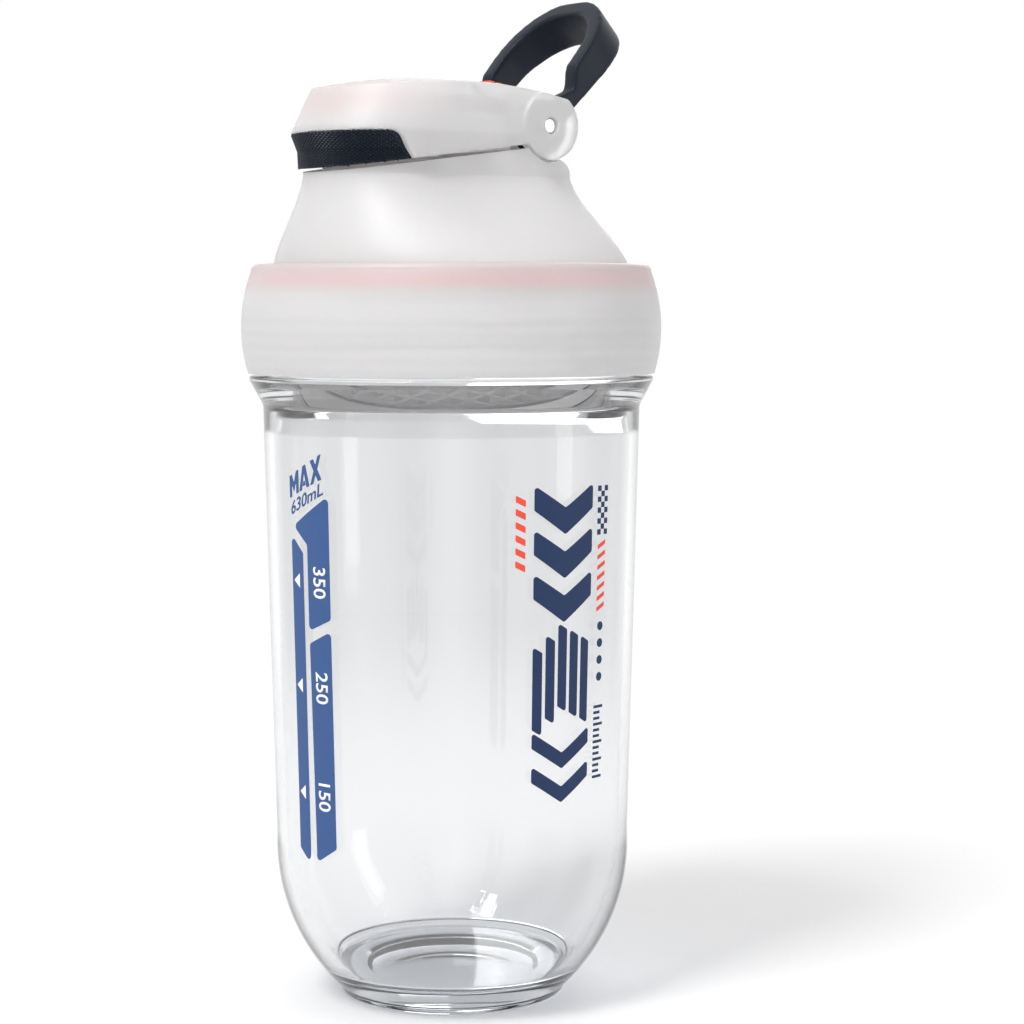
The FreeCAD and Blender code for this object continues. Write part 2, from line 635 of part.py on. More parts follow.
# ---------------------------------------------------------------- flip cap
def below_parting(name):
    """Everything under the sloping line where the cap meets the lid, less half of the gap."""
    return slab(name, [
        (f"-{FAR}", deck_height(f"-{FAR}", "-part_gap / 2")),
        (f"-{FAR}", f"hinge_z - {FAR}"),
        (FAR, f"hinge_z - {FAR}"),
        (FAR, deck_height(FAR, "-part_gap / 2")),
    ], FAR)


def grip_reach(name, top, gap):
    """Side view of the space that the thumb grip takes, with a round corner and an end that slants back."""
    turn = "atan(grip_end_fall / grip_end_back)"
    bite = f"grip_corner_r * tan({turn} / 2)"
    low = "hinge_z - cap_depth"
    return slab(name, [
        (f"-{FAR}", top),
        (f"-{FAR}", low),
        (f"grip_end_y - {gap} + (({top}) - ({low})) * grip_end_back / grip_end_fall", low),
        (f"grip_end_y - {gap} + {bite} * cos({turn})", f"{top} - {bite} * sin({turn})"),
        (f"grip_end_y - {gap} - {bite}", top),
    ], FAR, {3: ("grip_corner_r", 1)})


def make_cap():
    """Frosted flip cap: drafted sides, crowned top, grip recess, cheeks and a tongue over the hinge."""
    levels = [
        ("CapLow", "hinge_z - cap_depth", "deck_front_y", "cap_low_r", "cap_low_half"),
        ("CapLip", "lip_z", "lip_y", "lip_r", "cheek_half"),
        ("CapTop", f"crown_z + {LAP}", "cap_top_y", "cap_top_r", "cap_top_half"),
    ]
    sections = [egg(loose_sketch(name, None, ("0", "0", z)), front_y, front_r, "hinge_y", half)
                for name, z, front_y, front_r, half in levels]
    behind = block("BehindHinge", (f"-{FAR}", "hinge_y", f"hinge_z - {FAR}"),
                   (f"2 * {FAR}", FAR, f"2 * {FAR}"))
    shell = without("CapBlock", lofted("CapLoft", sections, ruled=True), behind, below_parting("CapParting"))
    tongue = block("Tongue", ("-tower_half", f"hinge_y - {LAP}", "hinge_z"),
                   ("2 * tower_half", f"tongue_y - hinge_y + {LAP}", f"crown_rise + {LAP}"))
    whole = joined("CapWhole", shell, rod_x("CheekRound", "cheek_half", "cheek_r"), tongue)
    crown = primitive("Sphere", "Crown", ("0", "crown_y", "crown_z - crown_r"), Radius="crown_r")
    crowned = shared("CapCrowned", whole, crown)

    # Room for the spout: narrow behind the grip, wider above the lip, and lower under the channels.
    room_half = "cheek_half - cap_wall - cap_side_room"
    centre_half = "tower_half - channel_side"
    under = f"hinge_z - {PAST}"
    room_low = [
        primitive("Cylinder", "RoomRound", ("0", "deck_front_y", under), Radius="cap_room_r",
                  Height=f"ceiling_z - hinge_z + {PAST}"),
        block("RoomCentre", (f"-({centre_half})", "deck_front_y", under),
              (f"2 * ({centre_half})", "cap_back_y - deck_front_y", f"ceiling_z - hinge_z + {PAST}")),
        block("RoomSides", (f"-({room_half})", "deck_front_y", under),
              (f"2 * ({room_half})", "cap_back_y - deck_front_y",
               f"channel_floor - channel_fall - cap_wall + {PAST}")),
    ]
    upper_sections = []
    for name, z, y, r in (("RoomLip", "lip_z + room_step", "lip_y", "lip_r"),
                          ("RoomTop", "ceiling_z", "lip_y + (cap_top_y - lip_y) * room_taper",
                           "lip_r + (cap_top_r - lip_r) * room_taper")):
        upper_sections.append(egg(loose_sketch(name, None, ("0", "0", z)), y, f"{r} - cap_wall",
                                  "cap_back_y", f"{room_half}"))
    upper_end = "channel_front_y - channel_side"
    upper = without("RoomUpper", lofted("RoomLoft", upper_sections, ruled=True),
                    block("RoomBack", (f"-{FAR}", upper_end, f"hinge_z - {FAR}"),
                          (f"2 * {FAR}", FAR, f"2 * {FAR}")))

    # Room for the tower and the loop's legs between the cheeks, open at the back.
    cheek_in = "cheek_half - cheek_wall"
    hinge_room = block("HingeRoom", (f"-({cheek_in})", "cap_back_y + cap_cross_wall", under),
                       (f"2 * ({cheek_in})", FAR, f"crown_rise - tongue_thick - tongue_crown + {PAST}"))
    channel = [
        ("channel_front_y", f"crown_z + {LAP}"),
        ("channel_front_y + channel_ramp", "hinge_z + channel_floor"),
        ("cap_back_y + cap_cross_wall", "hinge_z + channel_floor - channel_fall"),
        ("cap_back_y + cap_cross_wall", under),
        (FAR, under),
        (FAR, f"crown_z + {LAP}"),
    ]
    slots = [slab(f"Slot{side}", channel, f"{cheek_in} - tower_half", start=start)
             for side, start in (("Right", "tower_half"), ("Left", f"-({cheek_in})"))]

    # Recess round the front for the thumb grip, under the lip.
    recess = without("GripRecess", grip_reach("RecessReach", "lip_z", "0"),
                     primitive("Cylinder", "RecessInner", ("0", "deck_front_y", under), Radius="grip_seat_r",
                               Height=f"2 * {PAST}"))
    pad_seat = block("PadSeat", ("-pad_half", "pad_y", under), ("2 * pad_half", "pad_long", f"2 * {PAST}"))
    pad_room = shared("PadRoom", pad_seat, without("PadShell",
                      primitive("Sphere", "PadShellOuter", ("0", "crown_y", "crown_z - crown_r"),
                                Radius=f"crown_r + {LAP}"),
                      primitive("Sphere", "PadShellInner", ("0", "crown_y", "crown_z - crown_r"),
                                Radius="crown_r - pad_seat")))
    cap = without("Cap", crowned, *room_low, upper, hinge_room, *slots, recess, pad_room,
                  rod_x("PinHole", f"cheek_half + {LAP}", "pin_hole"))
    return subpart(cap, "cap_shell")


def make_grip():
    """Soft navy grip moulded round the front of the cap, waisted for the thumb."""
    body = doc.addObject("PartDesign::Body", "Grip")
    section = body_sketch(body, "GripSection", "YZ_Plane", ("deck_front_y", "0", "0"))
    low = "hinge_z - cap_depth"
    top = "lip_z - grip_gap"
    outline(section, [
        ("-grip_seat_r", low),
        ("-grip_seat_r", top),
        ("-grip_top_r", top),
        ("-grip_waist_r", "lip_z - grip_waist_drop"),
        ("-grip_low_r", low),
    ])
    turned(body, section, angle="180")
    ends = shared("GripEnds", body, grip_reach("GripReach", top, "grip_end_gap"))
    return subpart(without("GripTrimmed", ends, below_parting("GripParting")), "thumb_grip")


def make_liner():
    """Inner plate of the cap, with a ring that holds the seal."""
    plate = primitive("Cylinder", "LinerPlate", ("0", "spout_y", "liner_low"), Radius="seal_r + liner_rim",
                      Height="liner_thick")
    holder = without("LinerRing",
                     primitive("Cylinder", "LinerRingOuter", ("0", "spout_y", "seal_low"),
                               Radius="seal_r + liner_rim", Height="seal_thick + liner_thick"),
                     primitive("Cylinder", "LinerRingInner", ("0", "spout_y", f"seal_low - {LAP}"),
                               Radius="seal_r", Height=f"seal_thick + {LAP}"))
    # Posts join the plate to the ceiling of the cap.
    posts = []
    rows = (("Front", "spout_y - liner_post_front"), ("Rear", "spout_y + liner_post_rear"))
    for side, x in (("Right", "liner_post_x"), ("Left", "-liner_post_x")):
        for place, y in rows:
            posts.append(primitive("Cylinder", f"LinerPost{side}{place}", (x, y, "liner_low"),
                                   Radius="liner_post_r", Height="ceiling_z - liner_low"))
    # The cap's front wall leans back over the plate, so the plate's front follows it.
    lean = ("room_taper * (seal_low + seal_thick + liner_thick - lip_z - room_step)"
            " / (ceiling_z - lip_z - room_step)")
    room = primitive("Cylinder", "LinerRoom",
                     ("0", f"lip_y + (cap_top_y - lip_y) * {lean}", f"seal_low - {LAP}"),
                     Radius=f"lip_r + (cap_top_r - lip_r) * {lean} - cap_wall - liner_front_gap", Height=PAST)
    disc = shared("LinerDisc", joined("LinerDiscWhole", plate, holder), room)
    return subpart(joined("Liner", disc, *posts), "cap_liner")


def make_seal():
    """Coral silicone seal: a disc over the spout's rim with a hollow plug that enters the bore."""
    body = doc.addObject("PartDesign::Body", "Seal")
    profile = body_sketch(body, "SealProfile", "XZ_Plane", ("0", "0", "-spout_y"))
    outline(profile, [
        ("0", "seal_low"),
        ("plug_r - plug_wall", "seal_low"),
        ("plug_r - plug_wall", "seal_low - seal_gap - plug_drop"),
        ("plug_r - plug_lead", "seal_low - seal_gap - plug_drop"),
        ("plug_r", "seal_low - seal_gap - plug_drop + plug_lead_rise"),
        ("plug_r", "seal_low"),
        ("seal_r", "seal_low"),
        ("seal_r", "liner_low"),
        ("0", "liner_low"),
    ])
    turned(body, profile)
    return subpart(body, "spout_seal")


def make_pin():
    """Steel hinge pin pressed through the tower."""
    body = doc.addObject("PartDesign::Body", "Pin")
    half = "cheek_half - pin_sunk"
    profile = body_sketch(body, "PinProfile", "XY_Plane", ("0", "hinge_y", "hinge_z"))
    outline(profile, [
        (f"-({half})", "0"),
        (half, "0"),
        (half, "pin_r - pin_chamfer"),
        (f"{half} - pin_chamfer", "pin_r"),
        (f"-({half}) + pin_chamfer", "pin_r"),
        (f"-({half})", "pin_r - pin_chamfer"),
    ])
    pin = turned(body, profile)
    pin.ReferenceAxis = (profile, ["H_Axis"])
    return subpart(body, "hinge_pin")


def make_bumper():
    """Coral silicone bumper set into the tongue: a rib in front and a domed button behind."""
    def crown_slice(name, grow, low_y, long_side, half):
        ball = primitive("Sphere", name + "Ball", ("0", "crown_y", "crown_z - crown_r"),
                         Radius=f"crown_r + {grow}")
        return shared(name, ball, block(name + "Box", (f"-({half})", low_y, "hinge_z"),
                                        (f"2 * ({half})", long_side, PAST)))
    front = "pad_y + pad_gap"
    half = "pad_half - pad_gap"
    face = crown_slice("BumperFace", "pad_proud", front, "pad_long - 2 * pad_gap", half)
    rib = crown_slice("BumperRib", "pad_proud + pad_rib_proud", front, "pad_rib", half)
    button_y = "pad_y + pad_button_back"
    crown_there = f"crown_z - crown_r + sqrt(crown_r ^ 2 - ({button_y} - crown_y) ^ 2)"
    button_z = f"{crown_there} + pad_button_rise"
    button = shared("BumperButton",
                    primitive("Sphere", "ButtonBall", ("0", button_y, f"{button_z} - pad_button_ball_r"),
                              Radius="pad_button_ball_r"),
                    primitive("Cylinder", "ButtonRound", ("0", button_y, f"{button_z} - pad_button_ball_r"),
                              Radius="pad_button_r", Height="pad_button_ball_r"))
    floor = primitive("Sphere", "BumperFloor", ("0", "crown_y", "crown_z - crown_r"),
                      Radius="crown_r - pad_seat")
    return subpart(without("Bumper", joined("BumperWhole", face, rib, button), floor), "loop_bumper")


# ---------------------------------------------------------------- carry loop
def make_loop():
    """Navy carry loop: the side view of its band, cut out to a U, with eyes on the hinge pin."""
    body = doc.addObject("PartDesign::Body", "Loop")
    side = body_sketch(body, "LoopSide", "YZ_Plane")

    def spot(along, front):
        """Formulas of a place in the YZ plane from its distance along the loop and to its front."""
        return (f"hinge_y + ({along}) * sin(loop_lean) - ({front}) * cos(loop_lean)",
                f"hinge_z + ({along}) * cos(loop_lean) + ({front}) * sin(loop_lean)")

    outline(side, [
        spot("0", "-loop_back"),
        spot("loop_reach", "-loop_back"),
        spot("loop_reach", "loop_front_far"),
        spot("knee_far", "loop_front"),
        spot("notch_near", "notch_front"),
        spot("eye_reach", "eye_r / 2"),
        spot("0", "eye_r / 2"),
    ])
    band = body.newObject("PartDesign::Pad", "Band")
    band.Profile = side
    band.Midplane = True
    band.setExpression("Length", tied("2 * loop_half"))
    doc.recompute()
    eyes = body_sketch(body, "LoopEyes", "YZ_Plane")
    ring(eyes, "eye_r", "hinge_y", "hinge_z")
    eye_pad = body.newObject("PartDesign::Pad", "Eyes")
    eye_pad.Profile = eyes
    eye_pad.Midplane = True
    eye_pad.setExpression("Length", tied("2 * loop_half"))
    doc.recompute()

    # Both cuts look along the normal of the loop's own plane, which leans back.
    def face_sketch(name):
        sketch = body_sketch(body, name, "XZ_Plane")
        sketch.setExpression("AttachmentOffset.Rotation.Axis.x", "1")
        sketch.setExpression("AttachmentOffset.Rotation.Axis.z", "0")
        sketch.setExpression("AttachmentOffset.Rotation.Angle", tied("-loop_lean"))
        sketch.setExpression("AttachmentOffset.Base.y", tied("hinge_z"))
        sketch.setExpression("AttachmentOffset.Base.z", tied("-hinge_y"))
        doc.recompute()
        return sketch

    inner_bend = "loop_bend_r - loop_band"
    straight = "loop_reach - loop_bend_r"
    tail = "-2 * eye_r"
    hole = face_sketch("LoopHole")
    outline(hole, [
        ("-leg_inner", tail),
        ("leg_inner", tail),
        ("leg_inner", straight),
        (f"leg_inner - ({inner_bend})", "loop_reach - loop_band"),
        (f"-leg_inner + ({inner_bend})", "loop_reach - loop_band"),
        ("-leg_inner", straight),
    ], {2: (inner_bend, 1), 4: (inner_bend, 1)})
    rounding = face_sketch("LoopRounding")
    wide = f"loop_half + {LAP}"
    outline(rounding, [
        ("loop_half", straight),
        (wide, straight),
        (wide, f"loop_reach + {LAP}"),
        (f"-({wide})", f"loop_reach + {LAP}"),
        (f"-({wide})", straight),
        ("-loop_half", straight),
        ("-loop_half + loop_bend_r", "loop_reach"),
        ("loop_half - loop_bend_r", "loop_reach"),
    ], {5: ("loop_bend_r", -1), 7: ("loop_bend_r", -1)})
    for name, sketch in (("Hole", hole), ("Rounding", rounding)):
        before = body.Shape.Volume
        cut = body.newObject("PartDesign::Pocket", name)
        cut.Profile = sketch
        cut.Midplane = True
        cut.setExpression("Length", f"4 * {FAR}")
        doc.recompute()
        if body.Shape.Volume > before - 1:
            raise RuntimeError(f"the loop's {name} cut nothing away")
    pin_hole = body_sketch(body, "LoopPinHole", "YZ_Plane")
    ring(pin_hole, "pin_hole", "hinge_y", "hinge_z")
    bore = body.newObject("PartDesign::Pocket", "PinHoles")
    bore.Profile = pin_hole
    bore.Midplane = True
    bore.setExpression("Length", FAR)
    doc.recompute()
    return subpart(body, "carry_loop")


make_cup()
make_gasket()
make_lid()
make_pin()
make_grid()
make_cap()
make_liner()
make_seal()
make_grip()
make_bumper()
make_loop()
doc.recompute()

# ---------------------------------------------------------------- check and write
failed = [f"{item.Name}: {item.State}" for item in doc.Objects
          if "Invalid" in item.State or "Error" in item.State]
for label, piece in NODES.items():
    if piece.Shape.isNull() or not piece.Shape.isValid() or not piece.Shape.Solids:
        failed.append(f"{label} has no valid solid")
if failed:
    raise RuntimeError("; ".join(failed))

os.makedirs("parts", exist_ok=True)
for label, piece in NODES.items():
    piece.Shape.exportStep(f"parts/{label}.step")
    box = piece.Shape.BoundBox
    print(f"{label:12s} {len(piece.Shape.Solids)} solid(s)  volume {piece.Shape.Volume / 1000:7.2f} cm3  "
          f"X {box.XMin:7.2f} {box.XMax:7.2f}  Y {box.YMin:7.2f} {box.YMax:7.2f}  "
          f"Z {box.ZMin:7.2f} {box.ZMax:7.2f}")
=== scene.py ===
# %% [markdown]
# # A protein shaker bottle
# A clear blown cup, a frosted screw lid with a flip cap, a soft carry loop and the small coral
# seals inside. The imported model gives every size, and this lesson gives each piece its look.
# The camera and the light come first, then one finish at a time, then the pieces that need a
# better mesh than the working model has, and last the print on the cup.

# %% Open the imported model
import bpy
import bmesh
import math
from mathutils import Matrix, Vector


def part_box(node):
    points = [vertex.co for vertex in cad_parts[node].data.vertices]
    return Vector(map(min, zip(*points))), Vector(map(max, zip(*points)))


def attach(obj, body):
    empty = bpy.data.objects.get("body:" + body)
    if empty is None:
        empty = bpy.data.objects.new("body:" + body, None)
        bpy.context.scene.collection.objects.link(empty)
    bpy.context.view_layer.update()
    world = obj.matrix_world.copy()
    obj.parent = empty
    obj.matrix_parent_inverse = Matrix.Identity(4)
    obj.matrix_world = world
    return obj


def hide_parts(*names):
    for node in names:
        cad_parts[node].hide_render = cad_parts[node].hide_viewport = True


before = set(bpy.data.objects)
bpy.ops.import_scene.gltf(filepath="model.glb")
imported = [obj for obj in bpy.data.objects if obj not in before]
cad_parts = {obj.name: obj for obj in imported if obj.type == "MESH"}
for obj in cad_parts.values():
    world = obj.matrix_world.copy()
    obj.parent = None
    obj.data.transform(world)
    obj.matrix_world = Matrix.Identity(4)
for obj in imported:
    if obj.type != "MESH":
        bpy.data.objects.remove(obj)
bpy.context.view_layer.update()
MM = 0.001
print("nodes:", ", ".join(sorted(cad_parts)))

# %% [markdown]
# The places that the looks depend on are read from the model: the cup's rim and widest edge, the
# thumb grip, the spout's seal and the gasket. What the boxes can't tell is written where it is used.

# %% Read the places
cup_low, cup_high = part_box("cup")
grip_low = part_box("thumb_grip")[0]
seal_low, seal_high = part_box("spout_seal")
gasket_low, gasket_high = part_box("lid_gasket")
GASKET_Z = (gasket_low.z + gasket_high.z) / 2
SPOUT_Y = (seal_low.y + seal_high.y) / 2
print(f"cup {cup_high.x * 2 / MM:.1f} mm wide, rim at {cup_high.z / MM:.1f} mm")
print(f"gasket at {GASKET_Z / MM:.2f} mm, middle of the spout at y {SPOUT_Y / MM:.2f} mm")

# %% [markdown]
# ## Camera
# A long lens stands a little over half a metre away, level with the lid's collar, and looks a few
# degrees down. The bottle stands left of the middle, so the camera is turned slightly past it
# instead of being shifted.

# %% Place the camera
VIEW_AZIMUTH = math.radians(54.0)
VIEW_DISTANCE = 0.5694
EYE_HEIGHT = 0.1525
LOOK_DOWN = math.radians(4.66)
LOOK_PAST = math.radians(1.33)
LENS = 91.4

heading = Vector((-math.sin(VIEW_AZIMUTH), math.cos(VIEW_AZIMUTH), 0))
sideways = Vector((math.cos(VIEW_AZIMUTH), math.sin(VIEW_AZIMUTH), 0))
level = heading * math.cos(LOOK_PAST) + sideways * math.sin(LOOK_PAST)
gaze = level * math.cos(LOOK_DOWN) - Vector((0, 0, 1)) * math.sin(LOOK_DOWN)
camera = bpy.data.objects.new("camera", bpy.data.cameras.new("camera"))
camera.location = -heading * VIEW_DISTANCE + Vector((0, 0, EYE_HEIGHT))
camera.rotation_euler = gaze.to_track_quat("-Z", "Y").to_euler()
camera.data.lens = LENS
camera.data.clip_start = 0.01
bpy.context.scene.collection.objects.link(camera)
bpy.context.scene.camera = camera
print("camera at", [round(x, 3) for x in camera.location])

# %% [markdown]
# ## Studio
# Clear plastic shows its shape only by what it mirrors and bends, and in an all-white room it
# would vanish. The background is plain white where it is seen directly. What the bottle mirrors
# and bends is a studio of tall paper panels, light and grey by turns all the way round, which draw
# the soft upright bands on the cup, with more light overhead.

# %% Build the studio's panels
scene = bpy.context.scene
scene.view_settings.view_transform = "Standard"
world = bpy.data.worlds.new("studio")
scene.world = world
world.use_nodes = True
sky = world.node_tree
PANELS = (1.20, 0.72, 1.25, 0.80, 1.15, 0.70, 1.25, 0.85, 0.72, 1.20, 0.80, 0.72, 1.15, 0.90, 0.92, 1.20)
HEIGHTS = ((0.0, 0.90), (0.50, 0.90), (0.62, 0.84), (0.80, 0.78), (0.94, 1.00), (1.0, 1.05))


def shades(tree, name, stops):
    """Colour ramp of greys, given as (place, shade) pairs."""
    ramp = tree.nodes.new("ShaderNodeValToRGB")
    ramp.label = name
    ramp.color_ramp.interpolation = "EASE"
    while len(ramp.color_ramp.elements) < len(stops):
        ramp.color_ramp.elements.new(0.5)
    for stop, (place, shade) in zip(ramp.color_ramp.elements, stops):
        stop.position = place
        stop.color = (shade, shade, shade, 1)
    return ramp


def panels(tree, split):
    """Shade of the panel that stands in the direction of a split vector."""
    azimuth = tree.nodes.new("ShaderNodeMath")
    azimuth.operation = "ARCTAN2"
    around = tree.nodes.new("ShaderNodeMapRange")
    around.inputs["From Min"].default_value = -math.pi
    around.inputs["From Max"].default_value = math.pi
    ramp = shades(tree, "panels", [(n / (len(PANELS) - 1), shade) for n, shade in enumerate(PANELS)])
    tree.links.new(split.outputs["Y"], azimuth.inputs[0])
    tree.links.new(split.outputs["X"], azimuth.inputs[1])
    tree.links.new(azimuth.outputs[0], around.inputs["Value"])
    tree.links.new(around.outputs[0], ramp.inputs[0])
    return ramp.outputs[0]


def white_when_seen(tree, shade):
    """Plain white for the eye, and the given shade for what the bottle mirrors and bends."""
    ray = tree.nodes.new("ShaderNodeLightPath")
    seen = tree.nodes.new("ShaderNodeMix")
    seen.data_type = "RGBA"
    seen.inputs[7].default_value = (1, 1, 1, 1)
    tree.links.new(ray.outputs["Is Camera Ray"], seen.inputs[0])
    tree.links.new(shade, seen.inputs[6])
    return seen.outputs[2]


where = sky.nodes.new("ShaderNodeTexCoord")
split = sky.nodes.new("ShaderNodeSeparateXYZ")
height = sky.nodes.new("ShaderNodeMapRange")
height.inputs["From Min"].default_value = -1.0
overhead = shades(sky, "heights", HEIGHTS)
studio = sky.nodes.new("ShaderNodeMix")
studio.data_type = "RGBA"
studio.blend_type = "MULTIPLY"
studio.inputs[0].default_value = 1.0
for start, end in ((where.outputs["Generated"], split.inputs[0]),
                   (split.outputs["Z"], height.inputs["Value"]),
                   (height.outputs[0], overhead.inputs[0]),
                   (panels(sky, split), studio.inputs[6]),
                   (overhead.outputs[0], studio.inputs[7])):
    sky.links.new(start, end)
sky.links.new(white_when_seen(sky, studio.outputs[2]), sky.nodes["Background"].inputs["Color"])
print(len(PANELS), "panels round the studio")

# %% [markdown]
# Each soft box is an area light aimed at the upper part of the cup. The high one on the left is
# the key, and throws the shadow to the right and back.

# %% Hang the soft boxes
AIM = Vector((0, 0, cup_high.z * 0.7))


def soft_box(name, azimuth, height, distance, size, power):
    """Area light at an azimuth round the bottle, aimed at the upper part of the cup."""
    lamp = bpy.data.lights.new(name, "AREA")
    lamp.shape = "RECTANGLE"
    lamp.size, lamp.size_y = size
    lamp.energy = power
    angle = math.radians(azimuth)
    place = Vector((math.sin(angle) * distance, -math.cos(angle) * distance, height))
    box = bpy.data.objects.new(name, lamp)
    box.location = place
    box.rotation_euler = (place - AIM).to_track_quat("Z", "Y").to_euler()
    scene.collection.objects.link(box)
    box.visible_camera = False


soft_box("key", 14, 0.95, 0.62, (0.28, 0.36), 6.8)
soft_box("fill", 128, 0.40, 1.10, (0.25, 0.8), 1.2)
soft_box("rim", 225, 0.55, 1.00, (0.30, 0.6), 1.5)
print("three soft boxes")

# %% [markdown]
# ## Floor
# A wide disc of white card. Close to the bottle it is plain matt card that takes the shadow, and
# further out it glows a little, as a lit sweep does, so that its far edge melts into the
# background from every side. The panels carry on down it, because the cup's upright wall mirrors
# the floor as much as the sky.

# %% Lay the floor
FLOOR_RADIUS = 30.0
CARD_REACH, SWEEP_REACH = 0.20, 0.75


def card():
    made = bpy.data.materials.new("floor_card")
    made.use_nodes = True
    tree = made.node_tree
    shader = tree.nodes["Principled BSDF"]
    shader.inputs["Base Color"].default_value = (0.84, 0.84, 0.845, 1)
    shader.inputs["Roughness"].default_value = 0.9
    shader.inputs["Specular IOR Level"].default_value = 0.1
    place = tree.nodes.new("ShaderNodeTexCoord")
    out = tree.nodes.new("ShaderNodeVectorMath")
    out.operation = "LENGTH"
    share = tree.nodes.new("ShaderNodeMapRange")
    share.interpolation_type = "SMOOTHSTEP"
    share.inputs["From Min"].default_value = CARD_REACH
    share.inputs["From Max"].default_value = SWEEP_REACH
    glow = tree.nodes.new("ShaderNodeEmission")
    mixed = tree.nodes.new("ShaderNodeMixShader")
    direction = tree.nodes.new("ShaderNodeSeparateXYZ")
    tree.links.new(place.outputs["Object"], out.inputs[0])
    tree.links.new(place.outputs["Object"], direction.inputs[0])
    tree.links.new(white_when_seen(tree, panels(tree, direction)), glow.inputs["Color"])
    tree.links.new(out.outputs["Value"], share.inputs["Value"])
    tree.links.new(share.outputs[0], mixed.inputs[0])
    tree.links.new(shader.outputs[0], mixed.inputs[1])
    tree.links.new(glow.outputs[0], mixed.inputs[2])
    tree.links.new(mixed.outputs[0], tree.nodes["Material Output"].inputs["Surface"])
    return made


floor_mesh = bpy.data.meshes.new("floor")
floor_edit = bmesh.new()
bmesh.ops.create_circle(floor_edit, cap_ends=True, radius=FLOOR_RADIUS, segments=96)
floor_edit.to_mesh(floor_mesh)
floor_edit.free()
floor = bpy.data.objects.new("floor", floor_mesh)
floor.location.z = cup_low.z - 0.02 * MM
floor_mesh.materials.append(card())
scene.collection.objects.link(floor)

# %% [markdown]
# ## Finishes
# One helper builds what every moulded finish shares: a principled shader, a fine noise that
# varies its roughness, and a bump made of a slow waviness and a fine grain. Patterns read Object
# coordinates, in metres, so a grain of half a millimetre has a scale of about two thousand.

# %% Write the finish helper
def finish(name, colour, roughness, spread=0.05, grain=1800.0, wave=90.0, bump=0.15, tint=0.04, depth=0.02):
    """Moulded material: returns it with its shader and its tree."""
    made = bpy.data.materials.new(name)
    made.use_nodes = True
    tree = made.node_tree
    shader = tree.nodes["Principled BSDF"]
    place = tree.nodes.new("ShaderNodeTexCoord")
    fine = tree.nodes.new("ShaderNodeTexNoise")
    fine.inputs["Scale"].default_value = grain
    fine.inputs["Detail"].default_value = 3.0
    slow = tree.nodes.new("ShaderNodeTexNoise")
    slow.inputs["Scale"].default_value = wave
    slow.inputs["Detail"].default_value = 2.0
    for noise in (fine, slow):
        tree.links.new(place.outputs["Object"], noise.inputs["Vector"])
    rough = tree.nodes.new("ShaderNodeMapRange")
    rough.inputs["To Min"].default_value = max(roughness - spread, 0.0)
    rough.inputs["To Max"].default_value = roughness + spread
    tree.links.new(slow.outputs[0], rough.inputs["Value"])
    tree.links.new(rough.outputs[0], shader.inputs["Roughness"])
    shade = tree.nodes.new("ShaderNodeMix")
    shade.data_type = "RGBA"
    shade.inputs[6].default_value = (*[c * (1 - tint) for c in colour], 1)
    shade.inputs[7].default_value = (*[min(c * (1 + tint), 1.0) for c in colour], 1)
    tree.links.new(slow.outputs[0], shade.inputs[0])
    tree.links.new(shade.outputs[2], shader.inputs["Base Color"])
    lift = tree.nodes.new("ShaderNodeBump")
    lift.inputs["Strength"].default_value = bump
    lift.inputs["Distance"].default_value = depth * MM
    tree.links.new(fine.outputs[0], lift.inputs["Height"])
    tree.links.new(lift.outputs[0], shader.inputs["Normal"])
    return made, shader, tree


# %% [markdown]
# ### Clear plastic
# The cup is blown from a clear copolyester. The shader is full transmission with a plastic's
# index, and a faint grey absorption inside the wall: a ray along the wall's edge passes ten times
# more plastic than one straight through, and that darkens the outline as on the real cup. Lamps
# pass through, so that the cup doesn't throw a shadow as black as steel's.

# %% Make the clear plastic
CLEAR_INDEX = 1.52
GREY_PER_METRE = 16.0
SHADOW_TINT = (0.64, 0.65, 0.67, 1)


def clear_plastic():
    made, shader, tree = finish("clear_plastic", (0.925, 0.930, 0.936), 0.03, spread=0.02, wave=40.0,
                                bump=0.03, tint=0.004, depth=0.004)
    shader.inputs["Transmission Weight"].default_value = 1.0
    shader.inputs["IOR"].default_value = CLEAR_INDEX
    ray = tree.nodes.new("ShaderNodeLightPath")
    passing = tree.nodes.new("ShaderNodeBsdfTransparent")
    passing.inputs["Color"].default_value = SHADOW_TINT
    mixed = tree.nodes.new("ShaderNodeMixShader")
    tree.links.new(ray.outputs["Is Shadow Ray"], mixed.inputs[0])
    tree.links.new(shader.outputs[0], mixed.inputs[1])
    tree.links.new(passing.outputs[0], mixed.inputs[2])
    inside = tree.nodes.new("ShaderNodeVolumeAbsorption")
    inside.inputs["Color"].default_value = (0.50, 0.54, 0.58, 1)
    inside.inputs["Density"].default_value = GREY_PER_METRE
    end = tree.nodes["Material Output"]
    tree.links.new(mixed.outputs[0], end.inputs["Surface"])
    tree.links.new(inside.outputs[0], end.inputs["Volume"])
    return made


CLEAR = clear_plastic()

# %% [markdown]
# ### Frosted plastic
# The lid and the cap are moulded in a milky polypropylene: light enters, scatters and leaves
# again, and a coral seal behind the wall shows as a pink glow. A rough transmission gives the
# see-through part, and scattering under the surface the milk. The pink glow near the gasket and
# the spout's seal is also painted into the colour, and so is painted shade: faint darker streaks
# where the thread lies behind the collar. The finest grain is a satin mould texture.

# %% Make the frosted plastic
FROST = (0.925, 0.915, 0.917)
# painted glow: the pink that the frosted colour is tinted towards near a coral part behind the wall
PAINTED_GLOW = (1.0, 0.74, 0.72)
FROST_SEE_THROUGH = 0.55


